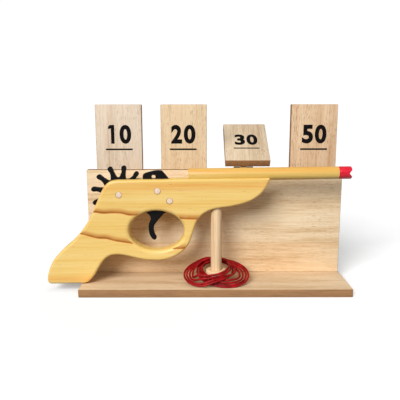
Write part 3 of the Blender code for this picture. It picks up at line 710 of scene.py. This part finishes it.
def make_base_screws(row, steel):
    head = carve(turned([(0, 0.0), (3.3, 0.0), (3.5, 0.2), (3.5, 0.4), (1.75, 2.6),
                         (1.6, 3.4), (1.75, 27.0), (0, 30.0)], 32),
                 [block((-1.6, -0.3, -1), (1.6, 0.3, 1.3)),
                  block((-0.3, -1.6, -1.01), (0.3, 1.6, 1.29))])
    bmesh.ops.scale(head, vec=(MM, MM, MM), verts=head.verts)
    model = add_object("base_screw_model", as_mesh("base_screw_model", head))
    spots = bpy.data.meshes.new("spots")
    spots.from_pydata([(x * MM, PANEL_MIDDLE * MM, GAP * MM) for x in PANEL_SCREWS], [], [])
    mesh = run_tree(spots, row, Part=model, Finish=steel)
    bpy.data.objects.remove(model, do_unlink=True)
    settle("base_screws", mesh, "stand",
           [f"panel_screw_{i}" for i in range(1, 5)])


def make_peg(dowel):
    piece("peg_dowel", rod(6.4, 4.3, 115.3, 64, place=(*PEG, 0), edge=0.9), dowel, "stand",
          ["peg"])
    low, high, outer, edge = 10.3, HUB_TOP, 12.3, 1.5
    section = [(BORE, low), (outer - 0.4, low), (outer, low + 0.4)]
    for i in range(7):
        a = math.pi / 2 * i / 6
        section.append((outer - edge + edge * math.cos(a), high - edge + edge * math.sin(a)))
    section += [(BORE + 0.3, high), (BORE, high - 0.3)]
    piece("peg_foot", turned(section, 64, place=(*PEG, 0), ring=True), dowel, "stand",
          ["peg_hub"])


# ---- targets ------------------------------------------------------------------------

def hinge_place(value):
    place = Matrix.Translation((TARGETS[value], HINGE_Y, HINGE_Z))
    return place @ Matrix.Rotation(-math.radians(TIPPED.get(value, 0.0)), 4, 'X')


def leaf(side):
    """A hinge leaf about its pivot: a plate with rounded corners, its rolled knuckles."""
    third = HINGE_HALF / 3
    corner = 1.6
    outline = []
    for cx, cz, start in ((HINGE_HALF - corner, -9.5 + corner, 270),
                          (HINGE_HALF - corner, -0.9, 0), (-HINGE_HALF + corner, -0.9, 90),
                          (-HINGE_HALF + corner, -9.5 + corner, 180)):
        outline += ellipse(cx, cz, corner, corner if cz < -2 else 0.4, start, start + 90, 7)
    holes = [ring_of(x, -SCREW_Z, 1.3, 20) for x in (-SCREW_X, SCREW_X)]
    body = plate(outline, holes, 0.6, 0.25, 2)
    bmesh.ops.translate(body, vec=(0, -1.7, 0), verts=body.verts)
    if side < 0:
        spans = ((-HINGE_HALF, -third - GAP / 2), (third + GAP / 2, HINGE_HALF))
        gaps = ((-third - GAP / 2, third + GAP / 2),)
    else:
        spans = ((-third + GAP / 2, third - GAP / 2),)
        gaps = ((-HINGE_HALF - 1, -third + GAP / 2), (third - GAP / 2, HINGE_HALF + 1))
    body = carve(body, [block((a, -2.9, -2.6), (b, 2.9, 2.6)) for a, b in gaps])
    rolls = []
    for a, b in spans:
        section = [(1.25, a), (2.1, a), (2.3, a + 0.2), (2.3, b - 0.2), (2.1, b), (1.25, b)]
        rolls.append(turned(section, 32, 'X', ring=True))
    whole = joined(body, *rolls)
    if side > 0:
        bmesh.ops.scale(whole, vec=(1, 1, -1), verts=whole.verts)
        bmesh.ops.reverse_faces(whole, faces=whole.faces)
    return whole


def make_hinges(brass_in_shade, brass, steel):
    head = screw_head(1.9, 1.0, 1.0, 8.4, 2.4)
    bmesh.ops.rotate(head, matrix=ALONG['Y'], verts=head.verts)
    model = as_mesh("hinge_screw_model", head)
    seat = -HINGE_OFFSET + GAP + 1.2 + GAP
    for value in TARGETS:
        still = Matrix.Translation((TARGETS[value], HINGE_Y, HINGE_Z))
        # The panel's leaf takes the brass painted dark as shade; the target's leaf is plain
        # brass
        piece(f"hinge_{value}_lower", leaf(-1), brass_in_shade, "stand",
              [f"panel_leaf_{value}"], still)
        piece(f"hinge_{value}_upper", leaf(1), brass, f"target_{value}",
              [f"target_leaf_{value}"], hinge_place(value))
        piece(f"hinge_{value}_pin", rod(0.95, -12.4, 12.4, 24, 'X', edge=0.4), steel, "stand",
              [f"hinge_pin_{value}"], still)
        for side, place, body, word in ((-1, still, "stand", "panel"),
                                        (1, hinge_place(value), f"target_{value}", "target")):
            whole = bmesh.new()
            for x in (-SCREW_X, SCREW_X):
                bm = bmesh.new()
                bm.from_mesh(model)
                bmesh.ops.translate(bm, vec=(x, seat, side * SCREW_Z), verts=bm.verts)
                whole.from_mesh(as_mesh("screw", bm))
            piece(f"hinge_{value}_{word}_screws", whole, brass, body,
                  [f"{word}_leaf_screw_{value}_{i}" for i in (1, 2)], place)


def figure(digit):
    """One bold digit, flat in the x, y plane, its lower left corner at the origin."""
    if digit == '1':
        outline = [(0.17, 0.0), (0.37, 0.0), (0.37, 1.0), (0.12, 1.0), (0.03, 0.93),
                   (0.0, 0.80), (0.08, 0.79), (0.17, 0.82)]
        bm = bmesh.new()
        rings = [[bm.verts.new((x, y, z)) for x, y in outline] for z in (-0.05, 0.05)]
        bm.faces.new(list(reversed(rings[0])))
        bm.faces.new(rings[1])
        for i in range(len(outline)):
            j = (i + 1) % len(outline)
            bm.faces.new((rings[0][i], rings[0][j], rings[1][j], rings[1][i]))
        return bm
    text = bpy.data.curves.new("number", 'FONT')
    text.body = digit
    text.extrude = 0.05
    text.offset = 0.042
    obj = add_object("number", text)
    mesh = evaluated(obj)
    bpy.data.objects.remove(obj, do_unlink=True)
    bm = bmesh.new()
    bm.from_mesh(mesh)
    low = Vector((min(v.co.x for v in bm.verts), min(v.co.y for v in bm.verts), 0))
    bmesh.ops.translate(bm, vec=-low, verts=bm.verts)
    return bm


def printed(value):
    """The number and the line under it, thin and flat, facing -Y about their middle."""
    tall, line_half = 22.4, 15.4
    shapes = []
    for digit, left, width in zip(str(value), (-14.5, 0.8), (13.2, 14.0)):
        if digit == '1':
            left, width = -13.0, 7.6
        bm = figure(digit)
        wide = max(v.co.x for v in bm.verts)
        high = max(v.co.y for v in bm.verts)
        bmesh.ops.scale(bm, vec=(width / wide, tall / high, 1.0), verts=bm.verts)
        bmesh.ops.translate(bm, vec=(left, -tall / 2, 0), verts=bm.verts)
        bmesh.ops.rotate(bm, matrix=Matrix.Rotation(math.radians(90), 3, 'X'), verts=bm.verts)
        shapes.append(bm)
    outline = (ellipse(line_half, 0, 1.0, 1.0, -90, 90, 9)
               + ellipse(-line_half, 0, 1.0, 1.0, 90, 270, 9))
    line = plate(outline, [], 0.05, 0.02, 1)
    bmesh.ops.translate(line, vec=(0, 0, -18.0), verts=line.verts)
    return joined(*shapes, line)


def make_targets(wood, black):
    left, width, height, thick, foot = -22.7, 55.4, 78.0, 10.0, 0.15
    back = -HINGE_OFFSET
    for value in TARGETS:
        board = block((left, back - thick, foot), (left + width, back, foot + height), 0.8)
        cuts = [rod(1.3, -7.3, 1.0, 16, 'Y', (x, back, SCREW_Z)) for x in (-SCREW_X, SCREW_X)]
        piece(f"target_board_{value}", carve(board, cuts), wood[value], f"target_{value}",
              [f"target_{value}"], hinge_place(value))
        number = printed(value)
        aside = -1.0 if value == 20 else 0.0
        spot = (5.2 + aside, back - thick - 0.03, 42.9)
        bmesh.ops.translate(number, vec=spot, verts=number.verts)
        piece(f"number_{value}", number, black, f"target_{value}", (),
              hinge_place(value))


# ---- gun ----------------------------------------------------------------------------

HOLE = (-70.2, -60.0)
HOLE_HALF = (31.8, 23.4)
GUARD = (9.7, 12.2)          # wood ahead of the finger hole and under it
GUN_HALF = 10.0
SLOT_HALF = 3.0
PLASTIC_HALF = SLOT_HALF - GAP
PIN_RADIUS = 3.5
PIN_BORE = PIN_RADIUS + GAP
ROTOR_RADIUS = 33.3
ROTOR_CLEAR = 1.0            # between the rotor's tips and the lever
TRIGGER_X = HOLE[0] + 2.3
ROTOR_X = TRIGGER_X - 10.0 - ROTOR_CLEAR - ROTOR_RADIUS
ROTOR_AXIS = (ROTOR_X, -17.0)
TRIGGER_AXIS = (TRIGGER_X, -13.2)
STOP = (TRIGGER_X + 13.8, -24.9)
NOSE = 60.7
BARREL = (-32.4, 140.2, 7.3, 4.0)      # rear, front, radius and rise of its axis
# The outline's knots: x from the rotor's axis, or from the peg's for the fore end
BACK_STRAP = (
    (7.0, 0.0), (-1.0, 0.0), (-8.0, -1.0), (-13.0, -3.7), (-17.4, -8.6), (-21.6, -16.1),
    (-26.2, -26.1), (-31.4, -37.5), (-37.2, -48.0), (-46.0, -60.1), (-56.6, -71.3),
    (-68.6, -81.4), (-77.8, -91.0), (-83.6, -100.4), (-87.2, -110.0), (-88.5, -117.6),
)
BUTT = ((-88.0, -120.0), (-86.6, -121.9), (-84.2, -122.7), (-49.6, -122.5))
FRONT_STRAP = (
    (-45.6, -122.3), (-39.6, -120.4), (-33.2, -113.4), (-26.6, -102.9), (-20.8, -94.9),
    (-14.0, -89.6), (-5.6, -88.0), (4.4, -89.2), (17.6, -92.6), (29.0, -94.9),
)
FORE_END = (
    (-25.2, -54.5), (-21.2, -46.3), (-14.6, -40.3), (-6.3, -36.3), (3.5, -34.3),
    (16.5, -32.6), (31.1, -29.2), (42.3, -24.6), (51.7, -17.2), (57.8, -8.8),
)
LEVER = (
    (-16.6, 12.2), (-16.9, 17.0), (-15.3, 19.4), (-9.7, 21.2), (-3.0, 22.6), (3.9, 22.5),
    (6.4, 20.8), (12.0, 13.8), (11.8, 10.6), (9.2, 5.0), (8.4, -2.0), (8.8, -11.0),
    (10.4, -21.0), (9.6, -25.4), (5.5, -28.5), (1.4, -33.0), (-3.8, -39.0), (-6.3, -45.3),
    (-5.2, -52.0), (-3.2, -56.5), (-5.2, -58.9), (-8.5, -57.4), (-11.2, -51.8),
    (-12.2, -44.6), (-11.5, -39.5), (-9.4, -34.2), (-10.6, -29.6), (-13.7, -26.7),
)
LEVER_BACK = ((-10.9, 8.6), (-13.2, 11.3))
# Two carved grooves along each side, from the peg's axis: the path of each one's floor
GROOVES = (
    ((-150.0, -36.0), (-140.0, -36.6), (-131.0, -38.0), (-120.0, -37.8), (-110.0, -38.4),
     (-101.0, -40.6), (-92.0, -41.0), (-70.0, -43.0), (-52.0, -44.6), (-36.0, -46.0),
     (-22.0, -46.6), (-8.0, -46.8)),
    ((-166.0, -60.4), (-156.0, -62.6), (-147.0, -65.2), (-138.0, -67.6), (-128.0, -68.2),
     (-118.0, -71.0), (-106.0, -73.0), (-92.0, -75.4), (-70.0, -79.0), (-46.0, -81.4),
     (-34.0, -80.6), (-20.0, -78.0)),
)


def gun_outline():
    back = smooth_run([(ROTOR_X + x, z) for x, z in BACK_STRAP], 5)
    butt = [(ROTOR_X + x, z) for x, z in BUTT]
    strap = [(ROTOR_X + x, z) for x, z in FRONT_STRAP]
    guard = ellipse(*HOLE, HOLE_HALF[0] + GUARD[0], HOLE_HALF[1] + GUARD[1], -97, -20, 9)
    return (back + butt + smooth_run(strap + guard + list(FORE_END), 5)
            + [(60.3, -3.4), (NOSE, -1.6), (60.2, -0.4), (59.2, 0.0)])


def groove(path, side):
    """A long gouge cut: it slopes in gently from above and comes out steeply below."""
    run = smooth_run(path, 4)
    out = GUN_HALF * side
    section = ((6.0, 0.5), (6.0, 0.0), (2.2, -0.45), (0.6, -0.95), (0.0, -1.1), (-0.4, -0.80),
               (-1.0, 0.0), (-1.0, 0.5))
    bm = bmesh.new()
    rings = [[bm.verts.new((x, out + depth * side, z + rise)) for rise, depth in section]
             for x, z in run]
    for here, there in zip(rings, rings[1:]):
        for k in range(len(section)):
            m = (k + 1) % len(section)
            bm.faces.new((here[k], here[m], there[m], there[k]))
    bm.faces.new(list(reversed(rings[0])))
    bm.faces.new(rings[-1])
    for face in bm.faces:
        face.material_index = 1
    return bm


def make_gun_body(pine, gouged):
    hole = ellipse(*HOLE, *HOLE_HALF, 0, 360, 97)[:-1]
    body = plate(gun_outline(), [hole], GUN_HALF, 3.0, 6, hole_edge=4.6)
    rear, _, radius, rise = BARREL
    socket = rod(BORE, -110.0, -19.6, 48)
    bmesh.ops.rotate(socket, matrix=Matrix.Rotation(math.radians(GUN_TILT), 3, 'Y'),
                     verts=socket.verts)
    pocket = ROTOR_RADIUS + 1.5
    cuts = [rod(pocket, -SLOT_HALF, SLOT_HALF, 96, 'Y', (ROTOR_X, 0, ROTOR_AXIS[1])),
            block((TRIGGER_X - 24.0, -SLOT_HALF, -60.0), (STOP[0] + 7.5, SLOT_HALF, 10.0)),
            rod(radius + GAP, rear - GAP, NOSE + 10.0, 64, 'X', (0, 0, rise)), socket]
    cuts += [rod(PIN_BORE, -15.0, 15.0, 40, 'Y', (x, 0, z))
             for x, z in (ROTOR_AXIS, TRIGGER_AXIS, STOP)]
    cuts += [groove(path, side) for path in GROOVES for side in (-1, 1)]
    piece("gun_stock", carve(body, cuts, 2), (pine, gouged), "gun",
          ["gun_body"], GUN)


def make_pins(dowel):
    for name, (x, z), edge in (("rotor_axle", ROTOR_AXIS, 0.6),
                               ("trigger_pin", TRIGGER_AXIS, 0.6), ("stop_pin", STOP, 1.0)):
        pin = rod(PIN_RADIUS, -GUN_HALF, GUN_HALF, 48, 'Y', (x, 0, z), edge=edge)
        piece(name + "_dowel", pin, dowel, "gun", [name], GUN)


def make_barrel(pine, red):
    rear, front, radius, rise = BARREL
    barrel = turned(rounded(radius, rear, front, 0.6), 64, 'X', (0, 0, rise))
    barrel = carve(barrel, [rod(3.3, front - 8.3, front + 2.0, 32, 'X', (0, 0, rise))])
    piece("barrel_dowel", barrel, pine, "gun", ["barrel"], GUN)
    tip_length, half, deep = 14.2, 3.8, 3.2
    start = front + GAP
    end = start + tip_length
    profile = [(0, start - 8.0), (2.7, start - 8.0), (3.0, start - 7.7), (3.0, start)]
    profile += rounded(radius, start, end, 1.0)[1:]
    tip = turned(profile, 64, 'X', (0, 0, rise))
    outline = [(end + 3.0, half + 2.4), (end + 0.3, half + 0.3)]
    outline += [(end - deep + deep * abs(t) ** 1.4, half * t) for t in
                [1 - i / 6 for i in range(13)]]
    outline += [(end + 0.3, -half - 0.3), (end + 3.0, -half - 2.4)]
    notch = bmesh.new()
    near = [notch.verts.new((x, -12.0, z + rise)) for x, z in outline]
    far = [notch.verts.new((x, 12.0, z + rise)) for x, z in outline]
    notch.faces.new(near)
    notch.faces.new(list(reversed(far)))
    for i in range(len(outline)):
        j = (i + 1) % len(outline)
        notch.faces.new((near[i], far[i], far[j], near[j]))
    piece("muzzle_cap", carve(tip, [notch]), red, "gun", ["muzzle_tip"], GUN)


def rotor_outline():
    """A disc with hooked fingers, each with a broad root, a neck and a blunt round end."""
    count, root, half, hook, phase = 12, 19.0, 2.7, 2.2, math.radians(19.0)
    points = []
    pitch = 2 * math.pi / count
    end = ROTOR_RADIUS - half
    for tooth in range(count):
        a = phase + tooth * pitch
        along = Vector((math.cos(a), math.sin(a)))
        across = Vector((-math.sin(a), math.cos(a)))
        neck = end - 5.0
        points += [along * (root + 1.6) - across * (half + 0.9),
                   along * neck - across * (half + hook * 0.25 - 0.35),
                   along * (end - 1.4) - across * (half + hook * 0.1)]
        points += [along * (end + half * math.sin(t)) - across * (half * math.cos(t))
                   for t in (math.radians(d) for d in (15, 50, 90, 130, 165))]
        points += [along * (end - 1.4) + across * (half - hook * 0.05),
                   along * neck + across * (half - hook * 0.25 - 0.35),
                   along * (root + 1.6) + across * (half + 0.3)]
        valley = a + pitch / 2
        points.append(Vector((math.cos(valley), math.sin(valley))) * root)
    return smooth_run([(p.x, p.y) for p in points], 3, closed=True)


def make_rotor(black):
    wheel = plate(rotor_outline(), [ring_of(0, 0, PIN_BORE, 40)], PLASTIC_HALF, 0.55, 3)
    piece("rotor_wheel", wheel, black, "rotor", ["rotor"],
          GUN @ Matrix.Translation((ROTOR_AXIS[0], 0, ROTOR_AXIS[1])))


def make_trigger(black):
    pull = math.radians(6.5)
    reach = ROTOR_RADIUS + ROTOR_CLEAR
    rotor_x, rotor_z = ROTOR_X - TRIGGER_X, ROTOR_AXIS[1] - TRIGGER_AXIS[1]
    heel = []
    for x, z in ellipse(rotor_x, rotor_z, reach, reach, -35.0, 14.0, 6):
        if z < 0:
            x, z = (x * math.cos(pull) - z * math.sin(pull),
                    x * math.sin(pull) + z * math.cos(pull))
        heel.append((x, z))
    outline = smooth_run(list(LEVER) + heel + list(LEVER_BACK), 5, closed=True)
    holes = [ring_of(0, 0, PIN_BORE, 40), ring_of(-4.6, 15.4, 2.4, 28)]
    lever = plate(list(reversed(outline)), holes, PLASTIC_HALF, 0.55, 3)
    piece("trigger_lever", lever, black, "trigger", ["trigger"],
          GUN @ Matrix.Translation((TRIGGER_AXIS[0], 0, TRIGGER_AXIS[1])))


# ---- rubber bands -------------------------------------------------------------------

BAND_THICK = 2.3
BAND_CLEAR = 0.45
BAND_TILT = math.radians(17.5)
SAMPLES = 144
HUB_RADIUS = 12.3
# Each loop, first laid first, in the pile's own plane: middle right of and behind the
# peg, half length and half depth beyond the hub's radius, and turn in degrees
BANDS = (
    (8.0, 3.2, 19.1, 14.5, -27.0), (8.0, 3.2, 16.1, 11.7, -27.0),
    (7.2, 2.9, 13.3, 9.0, -27.5), (5.6, 2.7, 11.0, 6.8, -27.0),
    (-7.4, 3.4, 19.1, 14.3, 27.0), (-7.4, 3.4, 16.1, 11.5, 27.0),
    (-7.0, 3.2, 13.2, 8.7, 27.5), (-6.0, 3.0, 10.6, 6.4, 28.0),
)


def band_loop(middle_x, middle_y, beyond_x, beyond_y, turn):
    half_length, half_depth = HUB_RADIUS + beyond_x, HUB_RADIUS + beyond_y
    c, s = math.cos(math.radians(turn)), math.sin(math.radians(turn))
    loop = []
    for i in range(SAMPLES):
        a = 2 * math.pi * i / SAMPLES
        x, y = half_length * math.cos(a), half_depth * math.sin(a)
        loop.append((c * x - s * y + middle_x, s * x + c * y + middle_y))
    return loop


def drape(loop, laid):
    """How far a loop rises over those below it, spread along it so that it never dips."""
    apart = BAND_THICK + BAND_CLEAR
    need = []
    for x, y in loop:
        height = 0.0
        for below, lifts in laid:
            for (bx, by), lift in zip(below, lifts):
                near = (x - bx) ** 2 + (y - by) ** 2
                if near < apart ** 2:
                    height = max(height, lift + math.sqrt(apart ** 2 - near))
        need.append(height)
    reach = SAMPLES // 16
    spread = [max(need[(i + k) % SAMPLES] for k in range(-reach, reach + 1))
              for i in range(SAMPLES)]
    weights = [math.cos(math.pi * k / (2 * reach + 2)) ** 2 for k in range(-reach, reach + 1)]
    total = sum(weights)
    return [sum(w * spread[(i + k - reach) % SAMPLES] for k, w in enumerate(weights)) / total
            for i in range(SAMPLES)]


def make_bands(rubber):
    loops = [band_loop(*band) for band in BANDS]
    front = min(y for loop in loops for x, y in loop)
    floor = BASE_TOP + GAP + BAND_THICK / 2
    tree = band_tree()
    laid = []
    for number, loop in enumerate(loops, 1):
        lifts = drape(loop, laid)
        laid.append((loop, lifts))
        points = []
        for (x, y), lift in zip(loop, lifts):
            points.append(Vector((PEG[0] + x,
                                  PEG[1] + y * math.cos(BAND_TILT) - lift * math.sin(BAND_TILT),
                                  floor + (y - front) * math.sin(BAND_TILT)
                                  + lift * math.cos(BAND_TILT))) * MM)
        line = bpy.data.meshes.new("line")
        line.from_pydata(points, [(i, (i + 1) % SAMPLES) for i in range(SAMPLES)], [])
        mesh = run_tree(line, tree, Radius=1.25 * MM, Sides=14, Finish=rubber)
        settle(f"loose_band_{number}", mesh, "stand", [f"rubber_band_{number}"])


# ---- light, floor and camera --------------------------------------------------------

def soft_light(name, place, spread, strength):
    """A broad light from far off toward the set, so that it falls evenly on all of it."""
    lamp = bpy.data.lights.new(name, 'SUN')
    lamp.angle = math.radians(spread)
    lamp.energy = strength
    obj = add_object(name, lamp)
    obj.location = place
    obj.rotation_euler = (-Vector(place)).to_track_quat('-Z', 'Y').to_euler()


def make_studio():
    world = bpy.data.worlds.new("studio")
    bpy.context.scene.world = world
    world.use_nodes = True
    tree = world.node_tree
    room = tree.nodes["Background"]
    room.inputs[0].default_value = (1.0, 0.985, 0.97, 1.0)
    room.inputs[1].default_value = 0.03
    wall = tree.nodes.new('ShaderNodeBackground')
    wall.inputs[0].default_value = (1, 1, 1, 1)
    wall.inputs[1].default_value = 1.05
    seen = tree.nodes.new('ShaderNodeLightPath')
    mix = tree.nodes.new('ShaderNodeMixShader')
    tree.links.new(seen.outputs["Is Camera Ray"], mix.inputs[0])
    tree.links.new(room.outputs[0], mix.inputs[1])
    tree.links.new(wall.outputs[0], mix.inputs[2])
    tree.links.new(mix.outputs[0], tree.nodes["World Output"].inputs[0])
    soft_light("key", (-0.52, -1.0, 0.71), 32.0, 3.2)
    soft_light("sky", (0.20, -0.7, 1.0), 90.0, 0.80)
    soft_light("fill", (1.0, -0.75, 0.25), 60.0, 0.35)
    soft_light("back", (0.45, 1.0, 0.30), 90.0, 1.0)
    floor = bmesh.new()
    bmesh.ops.create_grid(floor, x_segments=1, y_segments=1, size=4.0)
    obj = add_object("floor", as_mesh("floor", floor))
    look = Look("floor_paper", Roughness=0.9, Specular_IOR_Level=0.1)
    paper = look.noise(look.stretched((1 / 4, 1 / 4, 1 / 4)), 3.0, 0.6)
    colour = look.ramp(paper, (0.3, (0.93, 0.93, 0.93)), (0.7, (0.95, 0.95, 0.95)))
    look.shader.inputs["Emission Color"].default_value = (1, 1, 1, 1)
    look.shader.inputs["Emission Strength"].default_value = 0.2
    obj.visible_diffuse = False
    obj.data.materials.append(look.feed(Base_Color=colour))


def make_camera():
    """The eye's place in millimetres from the base's middle, looking along +Y and tipped
    down; the field of view comes from the focal length in picture widths."""
    focal_widths, film = 1.2653, 36.0
    camera = add_object("camera", bpy.data.cameras.new("camera"))
    camera.data.sensor_width = film
    camera.data.lens = film * focal_widths
    camera.data.clip_start = 0.01
    down = 0.1859
    camera.location = Vector((-17.71, -586.61, 217.88)) * MM
    camera.rotation_euler = (math.pi / 2 - down, 0.0014, -0.0002)
    bpy.context.scene.camera = camera


def main():
    make_camera()
    make_studio()
    bpy.context.scene.view_settings.view_transform = 'Standard'
    edge_face_tone = tone(176, 132, 90)
    base = board_wood("base_wood", tone(232, 208, 174), tone(220, 192, 155),
                      tone(196, 160, 118), 'X', (0, 0, 1), edge_face_tone, flecks=0.3)
    panel = board_wood("panel_wood", tone(242, 222, 190), tone(230, 204, 166),
                       tone(206, 170, 126), 'X', (0, 1, 0), edge_face_tone, seam=48.8, flecks=0.35)
    wood = {}
    for value, light, middle, dark, flecks in (
            (10, (238, 220, 198), (226, 206, 182), (204, 178, 148), 0.4),
            (20, (236, 212, 176), (226, 198, 160), (204, 168, 124), 0.5),
            (30, (222, 202, 174), (206, 184, 154), (180, 152, 118), 0.6),
            (50, (230, 202, 168), (218, 185, 149), (196, 154, 112), 0.7)):
        turn = math.radians(TIPPED.get(value, 0.0))
        wood[value] = board_wood(f"target_wood_{value}", tone(*light), tone(*middle),
                                 tone(*dark), 'Z', (0, math.cos(turn), -math.sin(turn)), edge_face_tone,
                                 tipped=turn, flecks=flecks)
    pine = varnished_pine("varnished_pine", GUN_TOP, 12.5, (0.94, 0.96, 0.90))
    dowel = varnished_pine("varnished_barrel", 152.0, 0.0, (0.82, 0.84, 0.66))
    peg = dowel_wood("peg_wood", tone(238, 208, 168), tone(214, 176, 130), 'Z')
    pin = dowel_wood("pin_wood", tone(244, 222, 200), tone(228, 196, 170), 'Y')
    black = black_plastic()
    steel = metal("plated_steel", (0.56, 0.56, 0.57), (0.72, 0.72, 0.72), 0.22)
    # The panel's hinge leaves: the same brass, painted dark as shade for the shadowed outer
    # knuckles
    brass_in_shade = metal("dark_bronze", (0.050, 0.029, 0.016), (0.13, 0.08, 0.045), 0.46)
    brass = metal("dull_brass", (0.52, 0.38, 0.19), (0.70, 0.55, 0.31), 0.28)
    make_boards(base, panel)
    make_base_screws(row_tree(), steel)
    make_peg(peg)
    make_targets(wood, ink())
    make_hinges(brass_in_shade, brass, steel)
    make_gun_body(pine, gouged_pine())
    make_barrel(dowel, red_lacquer())
    make_pins(pin)
    make_rotor(black)
    make_trigger(black)
    make_bands(red_rubber())


main()
